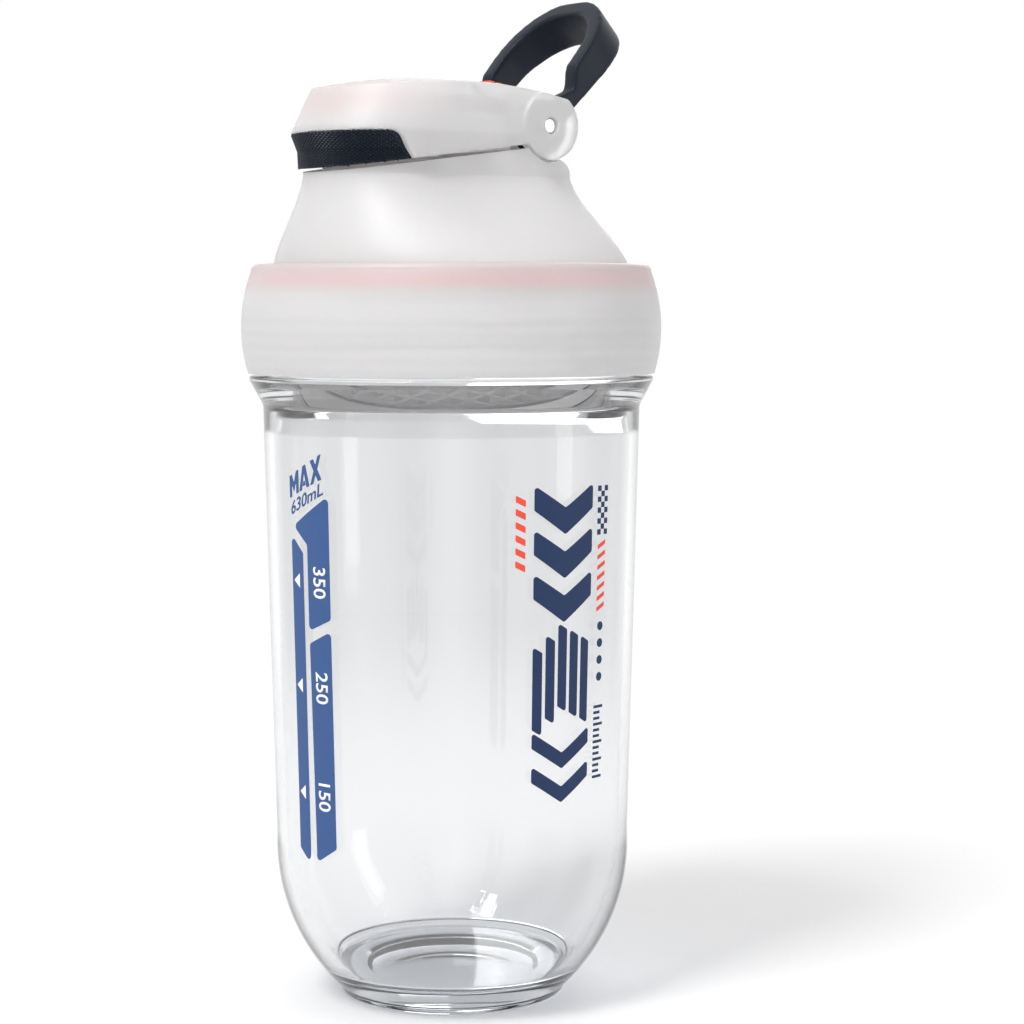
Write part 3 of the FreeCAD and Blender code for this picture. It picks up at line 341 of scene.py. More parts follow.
def glow_near(tree, shader, centre, spread, strength):
    """Painted glow: tint a frosted wall pink near something coral behind it. A spread of 0 leaves its axis
    out.
    """
    place = tree.nodes.new("ShaderNodeTexCoord")
    away = tree.nodes.new("ShaderNodeVectorMath")
    away.operation = "SUBTRACT"
    away.inputs[1].default_value = centre
    scaled = tree.nodes.new("ShaderNodeVectorMath")
    scaled.operation = "MULTIPLY"
    scaled.inputs[1].default_value = [1 / s if s else 0 for s in spread]
    length = tree.nodes.new("ShaderNodeVectorMath")
    length.operation = "LENGTH"
    share = tree.nodes.new("ShaderNodeMapRange")
    share.interpolation_type = "SMOOTHERSTEP"
    share.inputs["To Min"].default_value = strength
    share.inputs["To Max"].default_value = 0.0
    tint = tree.nodes.new("ShaderNodeMix")
    tint.data_type = "RGBA"
    tint.blend_type = "MULTIPLY"
    tint.inputs[7].default_value = (*PAINTED_GLOW, 1)
    before = shader.inputs["Base Color"].links[0].from_socket
    for start, end in ((place.outputs["Object"], away.inputs[0]),
                       (away.outputs[0], scaled.inputs[0]),
                       (scaled.outputs[0], length.inputs[0]),
                       (length.outputs["Value"], share.inputs["Value"]),
                       (share.outputs[0], tint.inputs[0]),
                       (before, tint.inputs[6]),
                       (tint.outputs[2], shader.inputs["Base Color"])):
        tree.links.new(start, end)


# painted shade of the thread behind the collar: top, fade and strength of the darker streaks
STREAKS_TOP, STREAKS_FADE, STREAKS_SHARE = 151.5, 3.0, 0.07


def show_thread(tree, shader):
    """Painted shade: faint darker level streaks where the thread lies behind the collar's wall."""
    place = tree.nodes.new("ShaderNodeTexCoord")
    stripes = tree.nodes.new("ShaderNodeTexWave")
    stripes.bands_direction = "Z"
    stripes.inputs["Scale"].default_value = 120.0
    stripes.inputs["Distortion"].default_value = 1.2
    stripes.inputs["Detail"].default_value = 1.0
    stripes.inputs["Detail Scale"].default_value = 0.6
    parts = tree.nodes.new("ShaderNodeSeparateXYZ")
    band = tree.nodes.new("ShaderNodeMapRange")
    band.interpolation_type = "SMOOTHSTEP"
    band.inputs["From Min"].default_value = STREAKS_TOP * MM
    band.inputs["From Max"].default_value = (STREAKS_TOP - STREAKS_FADE) * MM
    band.inputs["To Max"].default_value = STREAKS_SHARE
    share = tree.nodes.new("ShaderNodeMath")
    share.operation = "MULTIPLY"
    darker = tree.nodes.new("ShaderNodeMix")
    darker.data_type = "RGBA"
    darker.inputs[7].default_value = (0.55, 0.54, 0.55, 1)
    before = shader.inputs["Base Color"].links[0].from_socket
    for start, end in ((place.outputs["Object"], stripes.inputs["Vector"]),
                       (place.outputs["Object"], parts.inputs[0]),
                       (parts.outputs["Z"], band.inputs["Value"]),
                       (stripes.outputs["Fac"], share.inputs[0]),
                       (band.outputs[0], share.inputs[1]),
                       (share.outputs[0], darker.inputs[0]),
                       (before, darker.inputs[6]),
                       (darker.outputs[2], shader.inputs["Base Color"])):
        tree.links.new(start, end)


def frosted_plastic():
    made, shader, tree = finish("frosted_plastic", FROST, 0.46, spread=0.05, wave=60.0, bump=0.22, tint=0.02)
    shader.inputs["Transmission Weight"].default_value = FROST_SEE_THROUGH
    shader.inputs["IOR"].default_value = 1.49
    shader.inputs["Subsurface Weight"].default_value = 0.25
    shader.inputs["Subsurface Radius"].default_value = (1.0, 0.85, 0.8)
    shader.inputs["Subsurface Scale"].default_value = 3 * MM
    # painted glow in the colour, round the gasket and over the spout's seal
    glow_near(tree, shader, (0, 0, GASKET_Z + 0.6 * MM), (0, 0, 4.5 * MM), 0.55)
    glow_near(tree, shader, (0, SPOUT_Y - 4 * MM, seal_high.z + 1.5 * MM), (27 * MM, 25 * MM, 8.5 * MM), 0.62)
    # painted shade: darker streaks in the colour where the thread lies behind the collar
    show_thread(tree, shader)
    return made


FROSTED = frosted_plastic()

# %% [markdown]
# ### Rubber, silicone and the small parts
# The loop and the thumb grip are a navy elastomer, nearly black, with a soft grey sheen. The
# gasket, the spout's seal and the bumper are coral silicone. The mixing grid and the cap's liner
# are plain white plastic and the pin is drawn steel wire.

# %% Make the soft and small finishes
def navy_rubber():
    made, shader, _ = finish("navy_rubber", (0.0060, 0.0100, 0.0190), 0.42, spread=0.06, grain=2600.0,
                             wave=160.0, bump=0.35, tint=0.15, depth=0.02)
    shader.inputs["Specular IOR Level"].default_value = 0.22
    shader.inputs["Sheen Weight"].default_value = 0.06
    shader.inputs["Sheen Roughness"].default_value = 0.4
    return made


def coral_silicone():
    made, shader, _ = finish("coral_silicone", (0.80, 0.115, 0.075), 0.42, wave=140.0, bump=0.12, tint=0.05)
    shader.inputs["Subsurface Weight"].default_value = 0.3
    shader.inputs["Subsurface Radius"].default_value = (1.0, 0.35, 0.25)
    shader.inputs["Subsurface Scale"].default_value = 1.2 * MM
    return made


def pin_steel():
    made, shader, _ = finish("steel", (0.50, 0.50, 0.51), 0.22, spread=0.08, grain=3000.0, bump=0.1)
    shader.inputs["Metallic"].default_value = 1.0
    return made


RUBBER = navy_rubber()
SILICONE = coral_silicone()
WHITE = finish("white_plastic", (0.80, 0.79, 0.78), 0.4)[0]
STEEL = pin_steel()
FINISH_OF = {"lid_gasket": SILICONE, "spout_seal": SILICONE, "loop_bumper": SILICONE,
             "mixing_grid": WHITE, "cap_liner": WHITE, "hinge_pin": STEEL,
             "lid_shell": FROSTED, "thumb_grip": RUBBER}
for node, material in FINISH_OF.items():
    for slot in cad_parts[node].material_slots:
        slot.material = material
print(len(FINISH_OF), "working pieces keep their mesh and get a finish")

# %% [markdown]
# ## Node trees
# Geometry Nodes build what follows a rule. A small wrapper keeps the trees readable: it makes a
# group, adds named inputs, and turns arithmetic into Math nodes.

# %% Write the node-tree helper
class Recipe:
    """A Geometry Nodes group that is written line by line."""

    def __init__(self, name):
        self.tree = bpy.data.node_groups.new(name, "GeometryNodeTree")
        self.tree.interface.new_socket("Geometry", in_out="INPUT", socket_type="NodeSocketGeometry")
        self.tree.interface.new_socket("Geometry", in_out="OUTPUT", socket_type="NodeSocketGeometry")
        self.start = self.tree.nodes.new("NodeGroupInput")
        self.end = self.tree.nodes.new("NodeGroupOutput")

    def size(self, name, value, kind="NodeSocketFloat"):
        """Named input with its value."""
        socket = self.tree.interface.new_socket(name, in_out="INPUT", socket_type=kind)
        socket.default_value = value
        return self.start.outputs[name]

    def add(self, kind, settings=None, **inputs):
        """Node of a kind, with its settings and with its inputs linked or set."""
        node = self.tree.nodes.new(kind)
        for key, value in (settings or {}).items():
            setattr(node, key, value)
        for key, value in inputs.items():
            self.give(node, key, value)
        return node

    def give(self, node, key, value):
        socket = node.inputs[int(key[1:])] if key[1:].isdigit() else node.inputs[key.replace("_", " ")]
        if isinstance(value, bpy.types.NodeSocket):
            self.tree.links.new(value, socket)
        else:
            socket.default_value = value

    def maths(self, operation, first, second=0.0, third=0.0):
        node = self.add("ShaderNodeMath", {"operation": operation}, i0=first, i1=second, i2=third)
        return node.outputs[0]

    def point(self, x, y, z):
        return self.add("ShaderNodeCombineXYZ", X=x, Y=y, Z=z).outputs[0]

    def finish(self, geometry, material):
        """Real meshes with one material, ready to be made plain."""
        real = self.add("GeometryNodeRealizeInstances", Geometry=geometry)
        painted = self.add("GeometryNodeSetMaterial", Geometry=real.outputs[0], Material=material)
        self.tree.links.new(painted.outputs[0], self.end.inputs[0])


def grow(recipe, name, mesh, smooth=True):
    """Run a recipe on a mesh and return the result as an object with a plain mesh."""
    seed = bpy.data.objects.new(name, mesh)
    scene.collection.objects.link(seed)
    modifier = seed.modifiers.new(recipe.tree.name, "NODES")
    modifier.node_group = recipe.tree
    bpy.context.view_layer.update()
    plain_mesh = bpy.data.meshes.new_from_object(seed.evaluated_get(bpy.context.evaluated_depsgraph_get()))
    seed.modifiers.clear()
    seed.data = plain_mesh
    plain_mesh.name = name
    if smooth:
        plain_mesh.shade_smooth()
    print(f"{name}: {len(plain_mesh.polygons)} faces")
    return seed


# %% [markdown]
# ## The cup
# A blown cup is a profile turned about an axis, so the profile is written once, foot to rim and
# back down the inside, with its round stretches as arcs. A recipe turns it: it lays a grid with
# one column for each step round and one row for each point of the profile, and moves every grid
# point to its place. A second recipe runs the thread's ridge round the neck along a helix.

# %% Write the cup's profile
FOOT_R, FOOT_ROUND, BELLY_R = 23.2, 1.6, 43.5
PUNT_R, PUNT_DEPTH = 19.6, 1.2
PUNT_IN, PUNT_OUT, PUNT_LIFT = 0.3, 0.2, 0.15  # the small bevel between the punt and the foot
WALL_LOW, WALL_TOP = Vector((38.7, 36.0)), Vector((41.1, 129.8))
CUP_WALL, FLOOR_Z, FLOOR_ROUND = 2.2, 6.5, 3.5
SHOULDER_Z, SHOULDER_TOP = 135.2, 136.1
NECK_R, MOUTH_R = 40.2, 37.9
RIM_Z = cup_high.z / MM
SHOULDER_R = cup_high.y / MM
FOOT_STEPS, BELLY_STEPS = 6, 28


def bend(start, finish_at, radius, side, steps):
    """Points on an arc between two points, the last one left out. side picks which way it bulges."""
    chord = finish_at - start
    left = Vector((-chord.y, chord.x)).normalized()
    centre = (start + finish_at) / 2 + left * side * math.sqrt(radius ** 2 - chord.length ** 2 / 4)
    first = math.atan2(*(start - centre).yx)
    last = math.atan2(*(finish_at - centre).yx)
    if side > 0 and last < first:
        last += 2 * math.pi
    if side < 0 and last > first:
        last -= 2 * math.pi
    return [centre + Vector((math.cos(a), math.sin(a))) * radius
            for a in (first + (last - first) * step / steps for step in range(steps))]


def rounded(corners, radii, steps=5):
    """Open outline whose corners are rounded by their own radii."""
    outline = [corners[0]]
    for before, corner, after, radius in zip(corners, corners[1:], corners[2:], radii):
        into, out = (before - corner).normalized(), (after - corner).normalized()
        half = into.angle(out) / 2
        if radius == 0 or math.pi / 2 - half < 0.01:
            outline.append(corner)
            continue
        reach = radius / math.tan(half)
        centre = corner + (into + out).normalized() * (radius / math.sin(half))
        first, last = corner + into * reach - centre, corner + out * reach - centre
        for step in range(steps + 1):
            outline.append(centre + first.slerp(last, step / steps).normalized() * radius)
    outline.append(corners[-1])
    return outline


def cup_profile():
    """Half section of the cup in mm, foot to rim and down the inside to the floor's middle."""
    foot_edge = Vector((FOOT_R + FOOT_ROUND, FOOT_ROUND))
    outside = [Vector((0, PUNT_DEPTH)), Vector((PUNT_R - PUNT_DEPTH - PUNT_IN, PUNT_DEPTH)),
               Vector((PUNT_R - PUNT_IN, PUNT_LIFT)), Vector((PUNT_R + PUNT_OUT, 0)), Vector((FOOT_R, 0))]
    outside += bend(outside[-1], foot_edge, FOOT_ROUND, 1, FOOT_STEPS)[1:]
    outside += bend(foot_edge, WALL_LOW, BELLY_R, 1, BELLY_STEPS)
    # Roundings from the wall's top, over the shoulder, the neck and the rim, to the inner shoulder.
    upper = rounded([WALL_LOW, WALL_TOP, Vector((SHOULDER_R, SHOULDER_Z)), Vector((SHOULDER_R, SHOULDER_TOP)),
                     Vector((NECK_R, SHOULDER_TOP)), Vector((NECK_R, RIM_Z)), Vector((MOUTH_R, RIM_Z)),
                     Vector((MOUTH_R, SHOULDER_Z)), WALL_TOP - Vector((CUP_WALL, SHOULDER_Z - WALL_TOP.y)),
                     WALL_LOW - Vector((CUP_WALL, 0))],
                    [3.0, 0.4, 0.3, 0.4, 0.5, 0.8, 3.0, 8.0])
    inner_foot = Vector((FOOT_R + CUP_WALL, FLOOR_Z))
    inside = bend(upper[-1], inner_foot, BELLY_R - CUP_WALL, -1, BELLY_STEPS)
    corner = rounded([inside[-1], inner_foot, Vector((0, FLOOR_Z))], [FLOOR_ROUND])
    return outside + upper[:-1] + inside + corner[1:-1] + [Vector((0, FLOOR_Z))]


profile = cup_profile()
print(len(profile), "points in the cup's half section")

# %% [markdown]
# The recipe samples the profile by its points' numbers, so every corner keeps its place. The two
# points on the axis end as one point each, once doubles are merged.

# %% Turn the cup
TURN_STEPS = 224


def lathe_recipe(material, points):
    recipe = Recipe("turned_profile")
    steps = recipe.size("Steps round", TURN_STEPS, "NodeSocketInt")
    rows = recipe.size("Profile points", points, "NodeSocketInt")
    grid = recipe.add("GeometryNodeMeshGrid", Size_X=1.0, Size_Y=1.0, Vertices_X=steps, Vertices_Y=rows)
    number = recipe.add("GeometryNodeInputIndex").outputs[0]
    row = recipe.maths("FLOORED_MODULO", number, rows)
    column = recipe.maths("FLOOR", recipe.maths("DIVIDE", number, rows))
    turns = recipe.maths("MULTIPLY", column, 2 * math.pi)
    turn = recipe.maths("DIVIDE", turns, recipe.maths("SUBTRACT", steps, 1.0))
    position = recipe.add("GeometryNodeInputPosition").outputs[0]
    sample = recipe.add("GeometryNodeSampleIndex", {"data_type": "FLOAT_VECTOR"},
                        Geometry=recipe.start.outputs["Geometry"], Value=position, Index=row)
    parts = recipe.add("ShaderNodeSeparateXYZ", Vector=sample.outputs[0])
    x = recipe.maths("MULTIPLY", parts.outputs["X"], recipe.maths("COSINE", turn))
    y = recipe.maths("MULTIPLY", parts.outputs["X"], recipe.maths("SINE", turn))
    placed = recipe.add("GeometryNodeSetPosition", Geometry=grid.outputs[0],
                        Position=recipe.point(x, y, parts.outputs["Z"]))
    closed = recipe.add("GeometryNodeMergeByDistance", Geometry=placed.outputs[0], Distance=0.001 * MM)
    recipe.finish(closed.outputs[0], material)
    return recipe


def outward(mesh):
    """Merge doubles, drop empty faces and turn every face outwards."""
    edit = bmesh.new()
    edit.from_mesh(mesh)
    bmesh.ops.remove_doubles(edit, verts=edit.verts, dist=0.001 * MM)
    bmesh.ops.dissolve_degenerate(edit, edges=edit.edges, dist=0.0005 * MM)
    bmesh.ops.recalc_face_normals(edit, faces=edit.faces)
    open_edges = sum(not e.is_manifold for e in edit.edges)
    edit.to_mesh(mesh)
    edit.free()
    return open_edges


profile_mesh = bpy.data.meshes.new("cup_profile")
profile_mesh.from_pydata([(p.x * MM, 0, p.y * MM) for p in profile], [], [])
cup = grow(lathe_recipe(CLEAR, len(profile)), "cup_clear", profile_mesh)
print("open edges on the cup:", outward(cup.data))

# %% [markdown]
# The ridge starts on the right-hand side of the neck and climbs one and two fifths of a turn. A
# helix is a rule too: a point's angle and height both grow with its number, and the ridge's own
# section is swept along it. Its foot is sunk into the wall, and it moves with the cup.

# %% Run the thread round the neck
THREAD_PITCH, THREAD_TURNS, THREAD_DEPTH = 5.0, 1.4, 1.3
THREAD_START = 141.7
THREAD_ROOT, THREAD_CREST, THREAD_SUNK = 2.0, 0.8, 0.3


def thread_recipe(material):
    recipe = Recipe("thread_ridge")
    radius = recipe.size("Wall radius", NECK_R * MM)
    pitch = recipe.size("Pitch", THREAD_PITCH * MM)
    turns = recipe.size("Turns", THREAD_TURNS)
    steps = recipe.size("Steps", 180, "NodeSocketInt")
    line = recipe.add("GeometryNodeCurvePrimitiveLine")
    points = recipe.add("GeometryNodeResampleCurve", Curve=line.outputs[0], Count=steps)
    number = recipe.add("GeometryNodeInputIndex").outputs[0]
    share = recipe.maths("DIVIDE", number, recipe.maths("SUBTRACT", steps, 1.0))
    angle = recipe.maths("MULTIPLY", recipe.maths("MULTIPLY", share, turns), 2 * math.pi)
    rise = recipe.maths("ADD", recipe.maths("MULTIPLY", recipe.maths("MULTIPLY", share, turns), pitch),
                        THREAD_START * MM)
    x = recipe.maths("MULTIPLY", radius, recipe.maths("COSINE", angle))
    y = recipe.maths("MULTIPLY", radius, recipe.maths("SINE", angle))
    helix = recipe.add("GeometryNodeSetPosition", Geometry=points.outputs[0],
                       Position=recipe.point(x, y, rise))
    upright = recipe.add("GeometryNodeSetCurveNormal", {"mode": "Z_UP"}, Curve=helix.outputs[0])
    section = recipe.add("GeometryNodeMeshToCurve", Mesh=recipe.start.outputs["Geometry"])
    swept = recipe.add("GeometryNodeCurveToMesh", Curve=upright.outputs[0], Profile_Curve=section.outputs[0],
                       Fill_Caps=True)
    recipe.finish(swept.outputs[0], material)
    return recipe


def ring_mesh(name, corners):
    """Closed outline as a mesh of edges."""
    made = bpy.data.meshes.new(name)
    made.from_pydata([(x * MM, y * MM, 0) for x, y in corners],
                     [(i, (i + 1) % len(corners)) for i in range(len(corners))], [])
    return made


thread_section = ring_mesh("thread_section",
                           [(-THREAD_SUNK, -THREAD_ROOT / 2), (THREAD_DEPTH, -THREAD_CREST / 2),
                            (THREAD_DEPTH, THREAD_CREST / 2), (-THREAD_SUNK, THREAD_ROOT / 2)])
thread = grow(thread_recipe(CLEAR), "cup_thread", thread_section, smooth=False)
outward(thread.data)
reach = [math.hypot(v.co.x, v.co.y) / MM for v in thread.data.vertices]
print(f"ridge from r {min(reach):.2f} to r {max(reach):.2f} mm")

# %% [markdown]
# The turned cup takes the place of the working model's cup, and the ridge rides with it.

# %% Hand the cup over
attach(cup, "cup")
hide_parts("cup")
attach(thread, "cup")

# %% [markdown]
# ## Softened mouldings
# The working model has knife edges, and a moulding never has. The cap and the loop are rebuilt
# from their own shape: a copy is remeshed into small even faces, and smoothing then wears the
# edges round while the flat stretches stay flat. The more passes, the rounder the edges.

# %% Write the softener
def softened(node, name, material, voxel, passes):
    """Copy of a CAD node with worn edges."""
    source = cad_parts[node]
    copy = bpy.data.objects.new(name, source.data.copy())
    scene.collection.objects.link(copy)
    edit = bmesh.new()
    edit.from_mesh(copy.data)
    bmesh.ops.remove_doubles(edit, verts=edit.verts, dist=0.001 * MM)
    edit.to_mesh(copy.data)
    edit.free()
    remesh = copy.modifiers.new("even_faces", "REMESH")
    remesh.mode = "VOXEL"
    remesh.voxel_size = voxel * MM
    smooth = copy.modifiers.new("worn_edges", "SMOOTH")
    smooth.iterations = passes
    smooth.factor = 0.5
    bpy.context.view_layer.update()
    made = bpy.data.meshes.new_from_object(copy.evaluated_get(bpy.context.evaluated_depsgraph_get()))
    copy.modifiers.clear()
    copy.data = made
    made.name = name
    made.materials.clear()
    made.materials.append(material)
    made.shade_smooth()
    print(f"{name}: {len(made.polygons)} faces, open edges {outward(made)}")
    return copy


# %% [markdown]
# The loop is soft and round all over, so it gets many passes. The cap is a crisp moulding whose
# edges are only just broken, so it gets few.

# %% Soften the loop and the cap
loop = softened("carry_loop", "loop_soft", RUBBER, 0.33, 34)
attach(loop, "loop")
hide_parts("carry_loop")
cap = softened("cap_shell", "cap_soft", FROSTED, 0.37, 4)
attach(cap, "cap")
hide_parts("cap_shell")

# %% [markdown]
# ### The grip's knurl
# The grip is covered in a fine diamond knurl, so that a wet thumb can lift the cap. Hundreds of
# diamonds that follow a face are a job for instances. The recipe casts rays at the grip from a
# ring round it, in staggered rows, and stands a small pyramid where each ray lands, leaning as the
# face does. A diamond is left out where a ray just beside it would miss the grip.

# %% Knurl the grip
KNURL_WIDTH, KNURL_RISE, KNURL_PROUD = 1.20, 0.72, 0.26
KNURL_TIP, KNURL_FOOT, KNURL_ASIDE, KNURL_MARGIN = 0.14, 0.56, 0.6, 0.45
KNURL_ROWS, KNURL_COLUMNS = 20, 64
GRIP_R, CAST_R, CAST_LENGTH = 19.0, 26.0, 12.0


def knurl_recipe(material):
    recipe = Recipe("diamond_knurl")
    columns = recipe.size("Columns", KNURL_COLUMNS, "NodeSocketInt")
    rows = recipe.size("Rows", KNURL_ROWS, "NodeSocketInt")
    step = recipe.size("Step round", KNURL_WIDTH / GRIP_R)
    rise = recipe.size("Row height", KNURL_RISE / 2 * MM)
    low = recipe.size("First row", grip_low.z + KNURL_MARGIN * MM)
    grip = recipe.start.outputs["Geometry"]
    grid = recipe.add("GeometryNodeMeshGrid", Size_X=1.0, Size_Y=1.0, Vertices_X=columns, Vertices_Y=rows)
    number = recipe.add("GeometryNodeInputIndex").outputs[0]
    row = recipe.maths("FLOORED_MODULO", number, rows)
    column = recipe.maths("FLOOR", recipe.maths("DIVIDE", number, rows))
    offset = recipe.maths("MULTIPLY", recipe.maths("FLOORED_MODULO", row, 2.0), 0.5)
    middle = recipe.maths("DIVIDE", columns, 2.0)
    place = recipe.maths("SUBTRACT", recipe.maths("ADD", column, offset), middle)
    level = recipe.maths("ADD", low, recipe.maths("MULTIPLY", row, rise))

    def cast(aside):
        angle = recipe.maths("MULTIPLY", recipe.maths("ADD", place, aside), step)
        x, y = recipe.maths("SINE", angle), recipe.maths("MULTIPLY", recipe.maths("COSINE", angle), -1.0)
        source = recipe.point(recipe.maths("MULTIPLY", x, CAST_R * MM),
                              recipe.maths("ADD", recipe.maths("MULTIPLY", y, CAST_R * MM), SPOUT_Y), level)
        inward = recipe.point(recipe.maths("MULTIPLY", x, -1.0), recipe.maths("MULTIPLY", y, -1.0), 0.0)
        along = recipe.point(recipe.maths("MULTIPLY", y, -1.0), x, 0.0)
        ray = recipe.add("GeometryNodeRaycast", Target_Geometry=grip, Source_Position=source,
                         Ray_Direction=inward, Ray_Length=CAST_LENGTH * MM)
        return ray, along

    ray, along = cast(0.0)
    kept = ray.outputs["Is Hit"]
    for aside in (-KNURL_ASIDE, KNURL_ASIDE):
        kept = recipe.add("FunctionNodeBooleanMath", {"operation": "AND"}, i0=kept,
                          i1=cast(aside)[0].outputs["Is Hit"]).outputs[0]
    placed = recipe.add("GeometryNodeSetPosition", Geometry=grid.outputs[0],
                        Position=ray.outputs["Hit Position"])
    turned = recipe.add("FunctionNodeAxesToRotation", {"primary_axis": "Z", "secondary_axis": "X"},
                        i0=ray.outputs["Hit Normal"], i1=along)
    diamond = recipe.add("GeometryNodeMeshCone", Vertices=4, Radius_Top=KNURL_TIP * MM,
                         Radius_Bottom=KNURL_FOOT * MM, Depth=KNURL_PROUD * MM)
    studs = recipe.add("GeometryNodeInstanceOnPoints", Points=placed.outputs[0], Selection=kept,
                       Instance=diamond.outputs["Mesh"], Rotation=turned.outputs[0],
                       Scale=recipe.point(1.0, KNURL_RISE / KNURL_WIDTH, 1.0))
    recipe.finish(studs.outputs[0], material)
    return recipe


knurl = grow(knurl_recipe(RUBBER), "grip_knurl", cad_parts["thumb_grip"].data.copy(), smooth=False)
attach(knurl, "cap")
print(len(knurl.data.polygons) // 6, "diamonds, the lowest just above z", round(grip_low.z / MM, 2), "mm")

# %% [markdown]
# ## Print
# The marks are screen-printed ink. Each is drawn flat, in millimetres along the wall and up it,
# sliced into upright strips so that it can bend, wrapped round the cup and given the thickness of
# a coat of ink. White figures lie on the blue bars as a second coat.

# %% Write the print helpers
PRINT_R = 40.0
INK, INK_GAP = 0.05, 0.01
STRIP = 1.0
CURVED_LEVELS, STRAIGHT_LEVELS = range(34, 44), range(44, 130, 10)


def wall_radius(z):
    """Outer radius of the cup's straight wall at a height, in mm."""
    share = (z - WALL_LOW.y) / (WALL_TOP.y - WALL_LOW.y)
    if share >= 0:
        return WALL_LOW.x + (WALL_TOP.x - WALL_LOW.x) * share
    curve = next(p for p in zip(profile, profile[1:]) if p[0].y <= z <= p[1].y and p[0].x > FOOT_R)
    return curve[0].x + (curve[1].x - curve[0].x) * (z - curve[0].y) / (curve[1].y - curve[0].y)


def ink(name, rgb):
    made, shader, _ = finish(name, rgb, 0.45, wave=200.0, bump=0.05, tint=0.06)
    shader.inputs["Specular IOR Level"].default_value = 0.2
    return made


def cut_flat(flat, place, normal):
    """Cut the faces of a flat drawing along a line."""
    bmesh.ops.bisect_plane(flat, geom=flat.verts[:] + flat.edges[:] + flat.faces[:], dist=1e-5,
                           plane_co=place, plane_no=normal)


def printed(name, flat, centre, coat, material):
    """Wrap a flat drawing round the cup. centre is the direction of its middle, in degrees."""
    bmesh.ops.remove_doubles(flat, verts=flat.verts, dist=0.001)
    bmesh.ops.triangulate(flat, faces=flat.faces[:])
    low = min(v.co.x for v in flat.verts)
    high = max(v.co.x for v in flat.verts)
    for cut in range(math.ceil(low / STRIP), math.ceil(high / STRIP)):
        cut_flat(flat, (cut * STRIP, 0, 0), (1, 0, 0))
    for level in (*CURVED_LEVELS, *STRAIGHT_LEVELS):
        cut_flat(flat, (0, level, 0), (0, 1, 0))
    top = bmesh.ops.extrude_face_region(flat, geom=flat.faces[:])
    raised = {v for v in top["geom"] if isinstance(v, bmesh.types.BMVert)}
    for v in flat.verts:
        angle = math.radians(centre) + v.co.x / PRINT_R
        radius = wall_radius(v.co.y) + INK * (coat + (1 if v in raised else 0)) + INK_GAP
        v.co = Vector((math.cos(angle) * radius, math.sin(angle) * radius, v.co.y)) * MM
    bmesh.ops.recalc_face_normals(flat, faces=flat.faces)
    mesh = bpy.data.meshes.new(name)
    flat.to_mesh(mesh)
    flat.free()
    mesh.materials.append(material)
    piece = bpy.data.objects.new(name, mesh)
    scene.collection.objects.link(piece)
    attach(piece, "cup")
    print(f"{name}: {len(mesh.polygons)} faces")


def patch(flat, corners, radius=0.0):
    """Add one filled outline with rounded corners to a flat drawing."""
    points = [Vector(c) for c in corners]
    closed = [points[-1]] + points + [points[0]]
    outline = rounded(closed, [radius] * len(points), steps=4)[1:-1]
    flat.faces.new([flat.verts.new((p.x, p.y, 0)) for p in outline])


def oblong(flat, x, y, wide, tall):
    patch(flat, [(x, y), (x + wide, y), (x + wide, y + tall), (x, y + tall)])


def slash(flat, left, right, y, rise, tall, radius):
    """Add one dash that climbs by a rise from left to right."""
    patch(flat, [(left, y), (right, y + rise), (right, y + rise - tall), (left, y - tall)], radius)


def disc(flat, x, y, radius, steps=20):
    angles = [2 * math.pi * step / steps for step in range(steps)]
    flat.faces.new([flat.verts.new((x + radius * math.cos(a), y + radius * math.sin(a), 0)) for a in angles])


def lettered(flat, text, place, size, weight=0.0, turn=0.0, lean=0.0, climb=0.0, stretch=1.0):
    """Add text to a flat drawing: turned by an angle, leaning, and climbing along its line."""
    curve = bpy.data.curves.new("figures", "FONT")
    curve.body = text
    curve.size = size
    curve.offset = weight
    curve.align_x = "CENTER"
    curve.align_y = "CENTER"
    curve.resolution_u = 4
    holder = bpy.data.objects.new("figures", curve)
    scene.collection.objects.link(holder)
    mesh = bpy.data.meshes.new_from_object(holder)
    bpy.data.objects.remove(holder)
    bend_up = Matrix(((stretch, lean, 0, 0), (climb * stretch, 1, 0, 0), (0, 0, 1, 0), (0, 0, 0, 1)))
    mesh.transform(Matrix.Translation((*place, 0)) @ Matrix.Rotation(turn, 4, "Z") @ bend_up)
    flat.from_mesh(mesh)


# %% [markdown]
# ### The volume scale
# Two upright bars beside each other face the spout: a narrow one with an arrowhead at each mark,
# and a wide one in two lengths with the figures, read from the side. The figures stand for
# millilitres, and the slanting line of letters above them marks the fill limit. Its word is drawn
# in block letters that grow to the right, each given in a unit square.

# %% Print the volume scale
SCALE_CENTRE = -84.0
SCALE_INK = ink("scale_ink", (0.040, 0.092, 0.245))
WHITE_INK = ink("white_ink", (0.86, 0.87, 0.88))
MARKS = {350: 93.7, 250: 71.4, 150: 48.5}
ARROW_LEFT, ARROW_RIGHT, ARROW_HALF = -5.2, -3.2, 1.5
WORD_LEFT, WORD_LOW, WORD_CLIMB = -6.2, 110.9, 0.42
LETTER_WIDE, LETTER_STEP, LETTER_TALL, LETTER_GROWTH, LETTER_ROUND = 3.4, 3.65, 4.6, 0.25, 0.12

